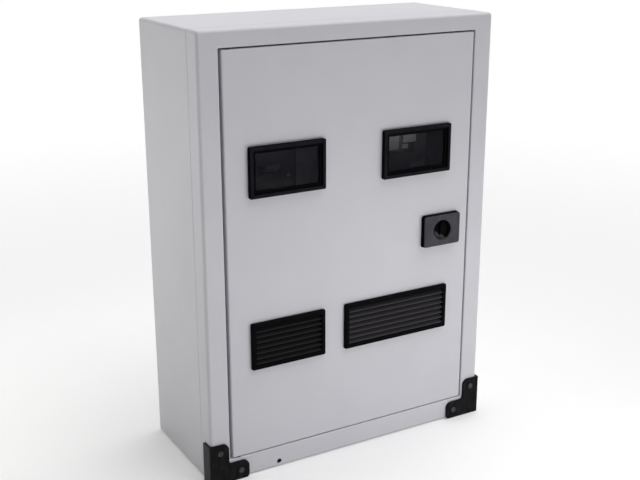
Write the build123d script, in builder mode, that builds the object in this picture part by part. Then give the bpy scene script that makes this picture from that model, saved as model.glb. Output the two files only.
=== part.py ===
from build123d import *
from math import cos, radians, sin, tan
import os

# Sheet-steel service box with a flush door, two windows, two louvred vents and its inner equipment.
# Lengths are millimetres. X runs to the right, Y into the depth, Z up, and the box stands on Z = 0.

# Whole box
box_width = 440
box_height = 600
box_depth = 187
sheet = 1.5
bend = 4.5
overrun = 5
fit = 0.3
screw_fit = 0.1
running_fit = 0.05

# Front frame, folded from one sheet
flange_depth = 28
seam = 0.8
collar_length = 18
side_margin = 28.3
top_margin = 22
bottom_margin = 31
opening_bend = 1.5
rebate_depth = 20
gutter_width = 12.5
hinge_gutter_width = 27
gutter_edge_height = 10
drain_radius = 3.5
drain_rise = 8.6
drain_offset = 118

# Fixing holes in the back wall
wall_hole_radius = 4.5
wall_hole_side_inset = 20
wall_hole_end_inset = 40

# Door pan and its gasket
hinge_side_gap = 4
lock_side_gap = 2.2
upper_gap = 2
lower_gap = 1
door_return = 15
door_bend = 2
gasket_width = 8
gasket_gap = 0.3

# Hinge pins and washers
hinge_inset = 9
hinge_setback = 5
pin_radius = 2
pin_head_radius = 3.2
pin_head_height = 2
pin_overhang = 3
washer_radius = 4.5
washer_play = 0.2

# Windows
window_gap = 89
window_height = 66.5
left_window_inset = 31.6
right_window_inset = 36.5
window_drop = 121.2
window_proud = 6
window_rim = 5
window_step = 4
window_step_depth = 2.5
window_seat = 2
window_bevel = 1.2
window_corner = 2
pane_thickness = 3
pane_lap = 3
collar_wall = 2
retainer_width = 5
retainer_depth = 4

# Vents
vent_height = 65.3
vent_gap = 31.3
left_vent_share = 0.395
left_vent_inset = 30.2
right_vent_inset = 34.5
vent_rise = 122.5
vent_proud = 5
vent_rim = 6
vent_bevel = 1.2
vent_corner = 2
slat_count = 7
slat_thickness = 1.6
slat_depth = 9
slat_tilt = 35
slat_recess = 0.6
filter_thickness = 6
filter_lip = 5
filter_grid_wall = 2
filter_bar_width = 3
filter_bar_pitch = 35

# Lock
lock_width = 62.5
lock_height = 46.4
lock_proud = 8
lock_draft = 8
lock_inset = 16.3
lock_drop = 0.55
lock_corner = 4
lock_bevel = 1.2
well_radius = 15.5
well_floor_radius = 11.5
well_floor = 1.5
knob_radius = 11
knob_base = 2
knob_wing_width = 7
knob_wing_inset = 1
knob_recess = 0.6
shaft_radius = 5
boss_radius = 11
nut_radius = 17
nut_thickness = 5
cam_width = 18
cam_thickness = 3
cam_overlap = 8.5
cam_gap = 0.8
boss_gap = 0.5
spindle_square = 6.5
cam_screw_radius = 2
cam_screw_length = 10
cam_screw_head_radius = 6
cam_screw_head_height = 4

# Corner guards and their screws
guard_width = 55
guard_height = 57.5
guard_post_width = 25.5
guard_foot_height = 26.5
guard_side_depth = 18
guard_thickness = 3
guard_corner = 9
guard_foot_corner = 5
guard_notch = 4
guard_edge = 2
guard_screw_inset = 12
guard_screw_head_radius = 4
guard_screw_head_height = 1.6
guard_screw_radius = 2
guard_screw_length = 11

# Mounting plate
plate_thickness = 2
plate_setback = 117.5
plate_side_inset = 35
plate_end_inset = 50
plate_corner = 6
standoff_radius = 7
stud_radius = 3
stud_inset = 15
stud_length = 9
plate_nut_radius = 5.8
plate_nut_height = 5

# Meter behind the right window
meter_side_gap = 2
meter_height_share = 0.3
meter_depth = 70
meter_drop = 22
meter_base = 12
meter_edge = 4
meter_cover_height = 46
meter_cover_depth = 52
meter_cover_wall = 2
display_side_inset = 22
display_height = 24
display_depth = 2
display_rise = 20
cover_screw_inset = 10
cover_screw_radius = 2
cover_screw_head_radius = 3.6
cover_screw_head_height = 2.4
cover_screw_engagement = 5

# Main switch behind the left window and outgoing breaker on the rail
switch_side_gap = 10
switch_height_share = 0.26
switch_depth = 62
switch_drop = 16
breaker_width = 72
breaker_height = 86
breaker_depth = 58
nose_step = 14
nose_share = 0.52
case_edge = 2
pole_count = 3
terminal_radius = 4.5
terminal_depth = 6
lever_width = 22
lever_length = 26
lever_thickness = 7
lever_throw = 40
lever_hub_radius = 6
lever_setback = 8
lever_gap = 0.6
axle_radius = 2
axle_engagement = 4
lever_bevel = 1.2
switch_screw_inset = 6
switch_screw_radius = 2
switch_screw_head_radius = 3.5
switch_screw_head_height = 2.4

# Rail on the mounting plate
rail_inset = 25
rail_gap = 45
rail_height = 35
rail_web = 27
rail_depth = 7.5
rail_sheet = 1
rail_screw_inset = 20
rail_screw_head_radius = 3.5
rail_screw_head_height = 2
rail_screw_radius = 2

# Neutral and earth bars
bar_inset = 43
bar_gap = 44
bar_height = 10
bar_depth = 10
bar_rise_share = 0.16
bar_screw_count = 5
bar_screw_end = 20
bar_screw_radius = 2
bar_screw_head_radius = 3.2
bar_screw_head_height = 2.4
bar_screw_length = 6
wire_hole_radius = 2.8
support_width = 14
support_height = 16
support_depth = 20
support_corner = 2

# Gland plate and grommets in the bottom
gland_width = 230
gland_depth = 56
gland_lap = 10
gland_thickness = 2
gland_corner = 5
grommet_count = 3
grommet_pitch = 66
grommet_bore = 10
grommet_neck = 16
grommet_flange = 19
grommet_rim = 1.2
grommet_collar = 4
gland_screw_radius = 1.8
gland_screw_head_radius = 3.5
gland_screw_head_height = 2.2
gland_screw_clear = 0.2

# Depth planes
back_y = (box_depth + lock_proud) / 2
front_y = back_y - box_depth
tray_front_y = front_y + flange_depth + seam
skin_y = front_y + sheet
gutter_floor_y = front_y + rebate_depth
gutter_edge_y = gutter_floor_y - gutter_edge_height
plate_y = front_y + plate_setback
plate_rear_y = plate_y + plate_thickness
standoff_length = back_y - sheet - plate_rear_y
middle_z = box_height / 2


def facing(y, x=0, z=0):
    """Returns a plane across the depth at y that looks to the front, with its origin at x and z."""
    return Plane(origin=(x, y, z), x_dir=(1, 0, 0), z_dir=(0, -1, 0))


def sideways(x, y, z):
    """Returns a plane across the width at x, its first axis into the depth and its second axis up."""
    return Plane(origin=(x, y, z), x_dir=(0, 1, 0), z_dir=(1, 0, 0))


def grown(bounds, margin):
    """Returns (left, right, bottom, top) moved outwards by the margin on all four sides."""
    left, right, bottom, top = bounds
    return left - margin, right + margin, bottom - margin, top + margin


def panel(y, bounds):
    """Returns the flat rectangle with the given bounds at depth y."""
    left, right, bottom, top = bounds
    with BuildSketch(facing(y, (left + right) / 2, (bottom + top) / 2)) as outline:
        Rectangle(right - left, top - bottom)
    return outline.sketch


def ring(y, outer, inner, corner=0):
    """Returns the flat ring between two rectangles at depth y, with outer corners of the given radius.

    The inner corners share their centres with the outer ones, so that the wall keeps its thickness.
    """
    inner_corner = corner - outer[1] + inner[1]
    with BuildSketch(facing(y)) as outline:
        for bounds, radius, mode in ((outer, corner, Mode.ADD), (inner, inner_corner, Mode.SUBTRACT)):
            left, right, bottom, top = bounds
            with Locations(((left + right) / 2, (bottom + top) / 2)):
                if radius > 0:
                    RectangleRounded(right - left, top - bottom, radius, mode=mode)
                else:
                    Rectangle(right - left, top - bottom, mode=mode)
    return outline.sketch


def centred(x, z, width, height):
    """Returns the bounds of a rectangle about its centre."""
    return x - width / 2, x + width / 2, z - height / 2, z + height / 2


def screws(y, places, radius, length, head_radius, head_height):
    """Returns screws driven into the depth, their heads on the plane at y."""
    with BuildPart() as group:
        with BuildSketch(facing(y)):
            with Locations(*places):
                Circle(head_radius)
        extrude(amount=head_height)
        with BuildSketch(facing(y)):
            with Locations(*places):
                Circle(radius)
        extrude(amount=-length)
    return group.part


# Rectangles of the front, as left, right, bottom and top
box = (-box_width / 2, box_width / 2, 0, box_height)
opening = (side_margin - box_width / 2, box_width / 2 - side_margin, bottom_margin, box_height - top_margin)
opening_left, opening_right, opening_bottom, opening_top = opening
gutter_edge = (
    opening_left + hinge_gutter_width,
    opening_right - gutter_width,
    opening_bottom + gutter_width,
    opening_top - gutter_width,
)
door = (
    opening_left + hinge_side_gap,
    opening_right - lock_side_gap,
    opening_bottom + lower_gap,
    opening_top - upper_gap,
)
door_left, door_right, door_bottom, door_top = door
door_width = door_right - door_left
hinge_x = door_left + hinge_inset
hinge_y = front_y + hinge_setback

# Sizes and places of the fittings on the door
window_width = (door_width - left_window_inset - right_window_inset - window_gap) / 2
vent_row = door_width - left_vent_inset - right_vent_inset - vent_gap
left_vent_width = vent_row * left_vent_share
right_vent_width = vent_row - left_vent_width
window_z = door_top - window_drop - window_height / 2
left_window_x = door_left + left_window_inset + window_width / 2
right_window_x = door_right - right_window_inset - window_width / 2
vent_z = door_bottom + vent_rise + vent_height / 2
left_vent_x = door_left + left_vent_inset + left_vent_width / 2
right_vent_x = door_right - right_vent_inset - right_vent_width / 2
lock_x = door_right - lock_inset - lock_width / 2
lock_z = (door_bottom + door_top) / 2 - lock_drop

# Sizes of the window mouldings
sight_width = window_width - 2 * (window_rim + window_step)
sight_height = window_height - 2 * (window_rim + window_step)
pane_width = sight_width + 2 * pane_lap
pane_height = sight_height + 2 * pane_lap
window_collar_width = pane_width + 2 * (fit + collar_wall)
window_collar_height = pane_height + 2 * (fit + collar_wall)
pane_y = front_y - window_proud + window_step_depth + window_seat

# Sizes of the vent mouldings
slat_reach = slat_depth * cos(radians(slat_tilt)) + slat_thickness * sin(radians(slat_tilt))
slat_y = front_y - vent_proud + slat_recess + slat_reach / 2
filter_y = slat_y + slat_reach / 2 + fit
filter_rear_y = filter_y + filter_thickness

# Places of the screws on the corner guards
guard_screw_places = [
    (side * (box_width / 2 - across), up)
    for side in (-1, 1)
    for across, up in (
        (guard_post_width / 2, guard_height - guard_screw_inset),
        (guard_width - guard_screw_inset, guard_foot_height / 2),
    )
]

# Cabinet body: folded tray with a joggled collar that slips into the front frame
inside = grown(box, -sheet)
inside_bend = bend - sheet
collar = grown(inside, -fit)
collar_inside = grown(collar, -sheet)
with BuildPart() as cabinet_body:
    extrude(panel(back_y, box), amount=back_y - tray_front_y)
    tray_folds = cabinet_body.edges().filter_by(Axis.Y) + cabinet_body.faces().sort_by(Axis.Y)[-1].edges()
    fillet(tray_folds, bend)
    offset(amount=-sheet, openings=cabinet_body.faces().sort_by(Axis.Y)[0])
    extrude(ring(tray_front_y + sheet, inside, collar_inside, inside_bend), amount=sheet)
    extrude(
        ring(tray_front_y + sheet, collar, collar_inside, inside_bend - fit), amount=sheet + collar_length
    )
    with BuildSketch(facing(back_y)):
        with Locations((0, middle_z)):
            with GridLocations(
                box_width - 2 * wall_hole_side_inset, box_height - 2 * wall_hole_end_inset, 2, 2
            ):
                Circle(wall_hole_radius)
    extrude(amount=sheet, mode=Mode.SUBTRACT)
    gland_y = (tray_front_y + plate_y) / 2
    with BuildSketch(Plane.XY):
        with Locations((0, gland_y)):
            RectangleRounded(gland_width, gland_depth, gland_corner)
            with GridLocations(gland_width + gland_lap, gland_depth + gland_lap, 2, 2):
                Circle(gland_screw_radius + screw_fit)
    extrude(amount=sheet, mode=Mode.SUBTRACT)

# Front frame: cover with outer returns, rebate, gutter and turned edge
with BuildPart() as front_frame:
    extrude(panel(front_y + flange_depth, box), amount=flange_depth)
    frame_folds = front_frame.edges().filter_by(Axis.Y) + front_frame.faces().sort_by(Axis.Y)[0].edges()
    fillet(frame_folds, bend)
    offset(amount=-sheet, openings=front_frame.faces().sort_by(Axis.Y)[-1])
    extrude(panel(skin_y, opening), amount=sheet, mode=Mode.SUBTRACT)
    gutter_rear_y = gutter_floor_y + sheet
    turned_edge = grown(gutter_edge, -sheet)
    extrude(ring(gutter_rear_y, grown(opening, sheet), opening), amount=gutter_rear_y - front_y)
    fillet(front_frame.faces().sort_by(Axis.Y)[0].inner_wires()[0].edges(), opening_bend)
    extrude(ring(gutter_rear_y, grown(opening, sheet), turned_edge), amount=sheet)
    extrude(ring(gutter_rear_y, gutter_edge, turned_edge), amount=sheet + gutter_edge_height)
    with BuildSketch(facing(skin_y)):
        with Locations((-drain_offset, drain_rise)):
            Circle(drain_radius)
        with Locations(*guard_screw_places):
            Circle(guard_screw_radius + screw_fit)
    extrude(amount=sheet, mode=Mode.SUBTRACT)
    with BuildSketch(Plane.XY.offset(opening_bottom - sheet)):
        with Locations((hinge_x, hinge_y)):
            Circle(pin_radius + running_fit)
    extrude(amount=opening_top - opening_bottom + 2 * sheet, mode=Mode.SUBTRACT)

# Hinge pins: a head behind each rebate wall and a shank through the wall into the door
with BuildPart() as hinge_pins:
    lower_seat = Plane.XY.offset(opening_bottom - sheet)
    upper_seat = Plane.XY.offset(opening_top + sheet)
    for seat, upwards, gap in ((lower_seat, 1, lower_gap), (upper_seat, -1, upper_gap)):
        with BuildSketch(seat):
            with Locations((hinge_x, hinge_y)):
                Circle(pin_head_radius)
        extrude(amount=-upwards * pin_head_height)
        with BuildSketch(seat):
            with Locations((hinge_x, hinge_y)):
                Circle(pin_radius)
        extrude(amount=upwards * (2 * sheet + gap + pin_overhang))

# Washers that fill the gap between the door and the rebate at each pin
with BuildPart() as hinge_washers:
    for seat, upwards, gap in ((opening_bottom, 1, lower_gap), (opening_top, -1, upper_gap)):
        with BuildSketch(Plane.XY.offset(seat)):
            with Locations((hinge_x, hinge_y)):
                Circle(washer_radius)
                Circle(pin_radius + running_fit, mode=Mode.SUBTRACT)
        extrude(amount=upwards * (gap - washer_play))

# Door: folded pan with the cut-outs for its fittings
vent_edge = vent_rim - collar_wall - fit
with BuildPart() as door_panel:
    extrude(panel(front_y + door_return, door), amount=door_return)
    door_folds = door_panel.edges().filter_by(Axis.Y) + door_panel.faces().sort_by(Axis.Y)[0].edges()
    fillet(door_folds, door_bend)
    offset(amount=-sheet, openings=door_panel.faces().sort_by(Axis.Y)[-1])
    with BuildSketch(facing(skin_y)):
        with Locations((left_window_x, window_z), (right_window_x, window_z)):
            Rectangle(window_collar_width + 2 * fit, window_collar_height + 2 * fit)
        for x, width in ((left_vent_x, left_vent_width), (right_vent_x, right_vent_width)):
            with Locations((x, vent_z)):
                Rectangle(width - 2 * vent_edge, vent_height - 2 * vent_edge)
        with Locations((lock_x, lock_z)):
            Circle(boss_radius + fit)
    extrude(amount=sheet, mode=Mode.SUBTRACT)
    with BuildSketch(Plane.XY.offset(door_bottom)):
        with Locations((hinge_x, hinge_y)):
            Circle(pin_radius + running_fit)
    extrude(amount=door_top - door_bottom, mode=Mode.SUBTRACT)

# Gasket on the inside of the door, facing the turned edge of the frame
with BuildPart() as door_gasket:
    gasket_line = grown(gutter_edge, -sheet / 2)
    gasket_rear_y = gutter_edge_y - gasket_gap
    gasket_outer = grown(gasket_line, gasket_width / 2)
    gasket_inner = grown(gasket_line, -gasket_width / 2)
    extrude(ring(gasket_rear_y, gasket_outer, gasket_inner), amount=gasket_rear_y - skin_y)


def window_frame(x):
    """Returns a window moulding: raised rim, sunk step, collar through the door and seat for the pane."""
    with BuildPart() as moulding:
        with BuildSketch(facing(front_y, x, window_z)):
            RectangleRounded(window_width, window_height, window_corner)
        extrude(amount=window_proud)
        chamfer(moulding.faces().sort_by(Axis.Y)[0].edges(), window_bevel)
        with BuildSketch(facing(skin_y + retainer_depth, x, window_z)):
            Rectangle(window_collar_width, window_collar_height)
        extrude(amount=sheet + retainer_depth)
        with BuildSketch(facing(front_y - window_proud, x, window_z)):
            Rectangle(window_width - 2 * window_rim, window_height - 2 * window_rim)
        extrude(amount=-window_step_depth, mode=Mode.SUBTRACT)
        with BuildSketch(facing(pane_y, x, window_z)):
            Rectangle(sight_width, sight_height)
        extrude(amount=window_proud, mode=Mode.SUBTRACT)
        with BuildSketch(facing(skin_y + retainer_depth, x, window_z)):
            Rectangle(pane_width + 2 * fit, pane_height + 2 * fit)
        extrude(amount=skin_y + retainer_depth - pane_y, mode=Mode.SUBTRACT)
    return moulding.part


def window_pane(x):
    """Returns the clear pane that lies against the seat of its moulding."""
    with BuildPart() as pane:
        extrude(panel(pane_y + pane_thickness, centred(x, window_z, pane_width, pane_height)), pane_thickness)
    return pane.part


def window_retainer(x):
    """Returns the ring pushed over a window's collar from inside the door."""
    with BuildPart() as retainer:
        bore = centred(x, window_z, window_collar_width + 2 * fit, window_collar_height + 2 * fit)
        extrude(ring(skin_y + retainer_depth, grown(bore, retainer_width), bore), retainer_depth)
        chamfer(retainer.faces().sort_by(Axis.Y)[-1].outer_wire().edges(), window_bevel)
    return retainer.part


def vent_grille(x, width):
    """Returns a vent moulding: proud rim, collar through the door and tilted slats between its sides."""
    clear_width = width - 2 * vent_rim
    clear_height = vent_height - 2 * vent_rim
    with BuildPart() as grille:
        with BuildSketch(facing(front_y, x, vent_z)):
            RectangleRounded(width, vent_height, vent_corner)
        extrude(amount=vent_proud)
        chamfer(grille.faces().sort_by(Axis.Y)[0].edges(), vent_bevel)
        with BuildSketch(facing(filter_rear_y, x, vent_z)):
            Rectangle(clear_width + 2 * collar_wall, clear_height + 2 * collar_wall)
        extrude(amount=filter_rear_y - front_y)
        with BuildSketch(facing(filter_rear_y, x, vent_z)):
            Rectangle(clear_width, clear_height)
        extrude(amount=filter_rear_y - front_y + vent_proud, mode=Mode.SUBTRACT)
        with BuildSketch(sideways(x - clear_width / 2 - collar_wall, slat_y, vent_z)):
            with GridLocations(0, clear_height / slat_count, 1, slat_count):
                Rectangle(slat_depth, slat_thickness, rotation=slat_tilt)
        extrude(amount=clear_width + 2 * collar_wall)
    return grille.part


def vent_filter(x, width):
    """Returns the filter pad that lies behind the slats inside the collar."""
    pad_bounds = centred(x, vent_z, width - 2 * (vent_rim + fit), vent_height - 2 * (vent_rim + fit))
    with BuildPart() as pad:
        extrude(panel(filter_rear_y, pad_bounds), filter_thickness)
    return pad.part


def vent_retainer(x, width):
    """Returns the ring over a vent's collar, with a barred back that keeps the filter pad in."""
    clear = centred(x, vent_z, width - 2 * vent_rim, vent_height - 2 * vent_rim)
    bore = grown(clear, collar_wall + fit)
    outside = grown(bore, retainer_width)
    grid_y = filter_rear_y + fit
    rear_y = grid_y + filter_grid_wall
    bar_count = int((width - 2 * vent_rim) // filter_bar_pitch)
    with BuildPart() as retainer:
        extrude(ring(rear_y, outside, bore), rear_y - skin_y)
        extrude(ring(rear_y, outside, grown(clear, -filter_lip)), filter_grid_wall)
        with BuildSketch(facing(rear_y, x, vent_z)):
            with GridLocations(filter_bar_pitch, 0, bar_count, 1):
                Rectangle(filter_bar_width, vent_height - 2 * vent_rim)
        extrude(amount=filter_grid_wall)
        chamfer(retainer.faces().sort_by(Axis.Y)[-1].outer_wire().edges(), vent_bevel)
    return retainer.part


# Lock housing: proud block with drafted sides, a dished well, and a boss through the door
cam_y = gutter_floor_y + sheet + cam_gap
boss_end_y = cam_y - boss_gap
with BuildPart() as lock_housing:
    with BuildSketch(facing(front_y, lock_x, lock_z)):
        RectangleRounded(lock_width, lock_height, lock_corner)
    extrude(amount=lock_proud, taper=lock_draft)
    chamfer(lock_housing.faces().sort_by(Axis.Y)[0].edges(), lock_bevel)
    with BuildSketch(facing(front_y - well_floor, lock_x, lock_z)):
        Circle(well_floor_radius)
    with BuildSketch(facing(front_y - lock_proud, lock_x, lock_z)):
        Circle(well_radius)
    loft(mode=Mode.SUBTRACT)
    with BuildSketch(facing(front_y, lock_x, lock_z)):
        Circle(boss_radius)
    extrude(amount=front_y - boss_end_y)
    with BuildSketch(facing(boss_end_y, lock_x, lock_z)):
        Circle(shaft_radius + running_fit)
    extrude(amount=boss_end_y - front_y + lock_proud, mode=Mode.SUBTRACT)

# Hexagon nut that clamps the housing to the door
with BuildPart() as lock_nut:
    with BuildSketch(facing(skin_y + nut_thickness, lock_x, lock_z)):
        RegularPolygon(nut_radius, 6)
        Circle(boss_radius + screw_fit, mode=Mode.SUBTRACT)
    extrude(amount=nut_thickness)

# Knob in the well, with its shaft and the square end that carries the cam
knob_y = front_y - well_floor - fit
cam_rear_y = cam_y + cam_thickness
with BuildPart() as lock_knob:
    with BuildSketch(facing(knob_y, lock_x, lock_z)):
        Circle(knob_radius)
    extrude(amount=knob_base)
    with BuildSketch(facing(knob_y, lock_x, lock_z)):
        SlotOverall(2 * (knob_radius - knob_wing_inset), knob_wing_width, rotation=90)
    extrude(amount=knob_y - front_y + lock_proud - knob_recess)
    with BuildSketch(facing(knob_y, lock_x, lock_z)):
        Circle(shaft_radius)
    extrude(amount=knob_y - cam_y + screw_fit)
    with BuildSketch(facing(knob_y, lock_x, lock_z)):
        Rectangle(spindle_square, spindle_square)
    extrude(amount=knob_y - cam_rear_y + screw_fit)
    with BuildSketch(facing(cam_rear_y, lock_x, lock_z)):
        Circle(cam_screw_radius + running_fit)
    extrude(amount=cam_screw_length + fit, mode=Mode.SUBTRACT)

# Cam: flat tongue that hangs down when open and swings behind the gutter floor when locked
cam_reach = gutter_edge[1] - sheet - lock_x + cam_overlap
cam_length = cam_reach + cam_width / 2
with BuildPart() as lock_cam:
    with BuildSketch(facing(cam_rear_y, lock_x, lock_z)):
        with Locations((0, (cam_width - cam_length) / 2)):
            SlotOverall(cam_length, cam_width, rotation=90)
        Rectangle(spindle_square + 2 * screw_fit, spindle_square + 2 * screw_fit, mode=Mode.SUBTRACT)
    extrude(amount=cam_thickness)

# Screw that holds the cam on the spindle, driven from behind
with BuildPart() as lock_cam_screw:
    with BuildSketch(facing(cam_rear_y, lock_x, lock_z)):
        Circle(cam_screw_head_radius)
    extrude(amount=-cam_screw_head_height)
    with BuildSketch(facing(cam_rear_y, lock_x, lock_z)):
        Circle(cam_screw_radius)
    extrude(amount=cam_screw_length)

# Corner guard: L-shaped plate on the front with a wrap along the side
with BuildPart() as right_corner_guard:
    with BuildSketch(facing(front_y)) as guard_front:
        with Locations((box_width / 2 + guard_thickness, 0)):
            Rectangle(guard_post_width + guard_thickness, guard_height, align=(Align.MAX, Align.MIN))
            Rectangle(guard_width + guard_thickness, guard_foot_height, align=(Align.MAX, Align.MIN))
        fillet(guard_front.vertices().group_by(Axis.X)[1].sort_by(Axis.Y)[0], guard_notch)
        fillet(guard_front.vertices().group_by(Axis.X)[0].sort_by(Axis.Y)[0], guard_foot_corner)
        foot_end = guard_front.vertices().group_by(Axis.X)[0].sort_by(Axis.Y)[-1]
        post_end = guard_front.vertices().group_by(Axis.Y)[-1].sort_by(Axis.X)[0]
        fillet([foot_end, post_end], guard_corner)
    extrude(amount=guard_thickness)
    with BuildSketch(sideways(box_width / 2, front_y - guard_thickness, 0)) as guard_wrap:
        Rectangle(guard_side_depth + guard_thickness, guard_height, align=(Align.MIN, Align.MIN))
        fillet(guard_wrap.vertices().group_by(Axis.X)[-1].sort_by(Axis.Y)[-1], guard_edge)
    extrude(amount=guard_thickness)
    outer_edges = right_corner_guard.edges().filter_by(Axis.Z).group_by(Axis.X)[-1]
    fillet(outer_edges.sort_by(Axis.Y)[0], guard_edge)
    with BuildSketch(facing(front_y)):
        with Locations(*guard_screw_places):
            Circle(guard_screw_radius + screw_fit)
    extrude(amount=guard_thickness, mode=Mode.SUBTRACT)
with BuildPart() as left_corner_guard:
    mirror(right_corner_guard.part, about=Plane.YZ)

# Mounting plate, its stand-offs with studs, and the nuts
plate_width = box_width - 2 * plate_side_inset
plate_height = box_height - 2 * plate_end_inset
stud_x = plate_width / 2 - stud_inset
stud_z = plate_height / 2 - stud_inset
stud_grid = GridLocations(2 * stud_x, 2 * stud_z, 2, 2)
with BuildPart() as plate_standoffs:
    with BuildSketch(facing(back_y - sheet, 0, middle_z)):
        with stud_grid:
            Circle(standoff_radius)
    extrude(amount=standoff_length)
    with BuildSketch(facing(plate_rear_y, 0, middle_z)):
        with stud_grid:
            Circle(stud_radius)
    extrude(amount=stud_length)
with BuildPart() as plate_nuts:
    with BuildSketch(facing(plate_y, 0, middle_z)):
        with stud_grid:
            RegularPolygon(plate_nut_radius, 6)
            Circle(stud_radius + screw_fit, mode=Mode.SUBTRACT)
    extrude(amount=plate_nut_height)

# Sizes and places on the mounting plate
meter_width = window_width - 2 * meter_side_gap
meter_height = plate_height * meter_height_share
display_width = meter_width - 2 * display_side_inset
switch_width = window_width - 2 * switch_side_gap
switch_height = plate_height * switch_height_share
rail_length = plate_width - 2 * rail_inset
bar_length = (plate_width - bar_gap) / 2 - bar_inset
bar_pitch = bar_length + bar_gap
bar_rise = plate_end_inset + plate_height * bar_rise_share
bar_screw_pitch = (bar_length - 2 * bar_screw_end) / (bar_screw_count - 1)
meter_x = right_window_x
meter_z = window_z - meter_drop
switch_x = left_window_x
switch_z = window_z - switch_drop
meter_bottom = meter_z - meter_height / 2
rail_rise = meter_bottom - rail_gap - rail_height / 2
meter_base_y = plate_y - meter_base
cover_y = plate_y - meter_cover_depth
cover_screw_x = meter_width / 2 - cover_screw_inset
cover_screw_places = [(meter_x + side * cover_screw_x, meter_bottom + cover_screw_inset) for side in (-1, 1)]
switch_screw_x = switch_width / 2 - switch_screw_inset
switch_screw_z = switch_height / 2 - switch_screw_inset
switch_screw_places = [(switch_x + end * switch_screw_x, switch_z + end * switch_screw_z) for end in (-1, 1)]
rail_screw_x = rail_length / 2 - rail_screw_inset
rail_screw_places = [(side * rail_screw_x, rail_rise) for side in (-1, 1)]

with BuildPart() as mounting_plate:
    with BuildSketch(facing(plate_rear_y, 0, middle_z)):
        RectangleRounded(plate_width, plate_height, plate_corner)
        with stud_grid:
            Circle(stud_radius + screw_fit, mode=Mode.SUBTRACT)
    extrude(amount=plate_thickness)
    with BuildSketch(facing(plate_rear_y)):
        with Locations(*switch_screw_places):
            Circle(switch_screw_radius + screw_fit)
        with Locations(*rail_screw_places):
            Circle(rail_screw_radius + screw_fit)
    extrude(amount=plate_thickness, mode=Mode.SUBTRACT)

# Meter: base, raised case with a display, and a hollow terminal cover
with BuildPart() as meter_case:
    case_top = meter_z + meter_height / 2
    case_bottom = meter_bottom + meter_cover_height + fit
    case_left = meter_x - meter_width / 2
    case_right = meter_x + meter_width / 2
    extrude(panel(plate_y, (case_left, case_right, case_bottom, case_top)), meter_depth)
    fillet(meter_case.faces().sort_by(Axis.Y)[0].edges(), meter_edge)
    extrude(panel(plate_y, (case_left, case_right, meter_bottom, case_top)), meter_base)
    display = centred(meter_x, meter_z + display_rise, display_width, display_height)
    display_floor_y = plate_y - meter_depth + display_depth
    extrude(panel(display_floor_y, display), display_depth, mode=Mode.SUBTRACT)
    with BuildSketch(facing(meter_base_y)):
        with Locations(*cover_screw_places):
            Circle(cover_screw_radius + running_fit)
    extrude(amount=-cover_screw_engagement, mode=Mode.SUBTRACT)
with BuildPart() as meter_display:
    extrude(panel(display_floor_y, grown(display, -screw_fit)), display_depth - screw_fit)
with BuildPart() as meter_terminal_cover:
    cover = (case_left, case_right, meter_bottom, case_bottom - fit)
    cover_depth = meter_cover_depth - meter_base
    extrude(panel(meter_base_y, cover), cover_depth)
    fillet(meter_terminal_cover.faces().sort_by(Axis.Y)[0].edges(), meter_edge / 2)
    hollow = (
        case_left + meter_cover_wall, case_right - meter_cover_wall,
        meter_bottom - overrun, case_bottom - fit - meter_cover_wall,
    )
    extrude(panel(meter_base_y, hollow), cover_depth - meter_cover_wall, mode=Mode.SUBTRACT)
    with BuildSketch(facing(meter_base_y)):
        with Locations(*cover_screw_places):
            Circle(cover_screw_radius + screw_fit)
    extrude(amount=cover_depth, mode=Mode.SUBTRACT)


def switch_case(x, z, width, height, depth):
    """Returns a switch case: stepped block with a lever slot, axle bores and terminal wells."""
    face_y = plate_y - depth
    step_y = face_y + nose_step
    with BuildPart() as case:
        extrude(panel(plate_y, centred(x, z, width, height)), depth - nose_step)
        extrude(panel(plate_y, centred(x, z, width, height * nose_share)), depth)
        chamfer(case.faces().sort_by(Axis.Y)[0].edges(), case_edge)
        with BuildSketch(facing(face_y + slot_depth, x, z)):
            Rectangle(lever_width + 2 * lever_gap, slot_height)
        extrude(amount=slot_depth, mode=Mode.SUBTRACT)
        with BuildSketch(sideways(x - axle_length / 2 - fit, face_y + lever_setback, z)):
            Circle(axle_radius + running_fit)
        extrude(amount=axle_length + 2 * fit, mode=Mode.SUBTRACT)
        with BuildSketch(facing(step_y, x, z)):
            with GridLocations(width / pole_count, height * (1 + nose_share) / 2, pole_count, 2):
                Circle(terminal_radius)
        extrude(amount=-terminal_depth, mode=Mode.SUBTRACT)
    return case.part


def switch_lever(x, z, depth):
    """Returns a switch lever in its upper position: hub, axle and handle about a cross axis."""
    pivot_y = plate_y - depth + lever_setback
    with BuildPart() as lever:
        with BuildSketch(sideways(x - lever_width / 2, pivot_y, z)):
            Circle(lever_hub_radius)
            Rectangle(
                lever_length, lever_thickness, rotation=-lever_throw / 2, align=(Align.MAX, Align.CENTER)
            )
        extrude(amount=lever_width)
        chamfer(lever.faces().sort_by(Axis.Y)[0].edges(), lever_bevel)
        with BuildSketch(sideways(x - axle_length / 2, pivot_y, z)):
            Circle(axle_radius)
        extrude(amount=axle_length)
    return lever.part


half_throw = radians(lever_throw / 2)
slot_height = 2 * (lever_setback * tan(half_throw) + lever_thickness / 2 / cos(half_throw) + 2 * lever_gap)
slot_depth = lever_setback + lever_hub_radius + lever_gap
axle_length = lever_width + 2 * (lever_gap + axle_engagement)

# Main switch, drilled for the long screws that hold it to the plate
with BuildPart() as main_switch_case:
    add(switch_case(switch_x, switch_z, switch_width, switch_height, switch_depth))
    with BuildSketch(facing(plate_y)):
        with Locations(*switch_screw_places):
            Circle(switch_screw_radius + screw_fit)
    extrude(amount=switch_depth, mode=Mode.SUBTRACT)

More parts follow.
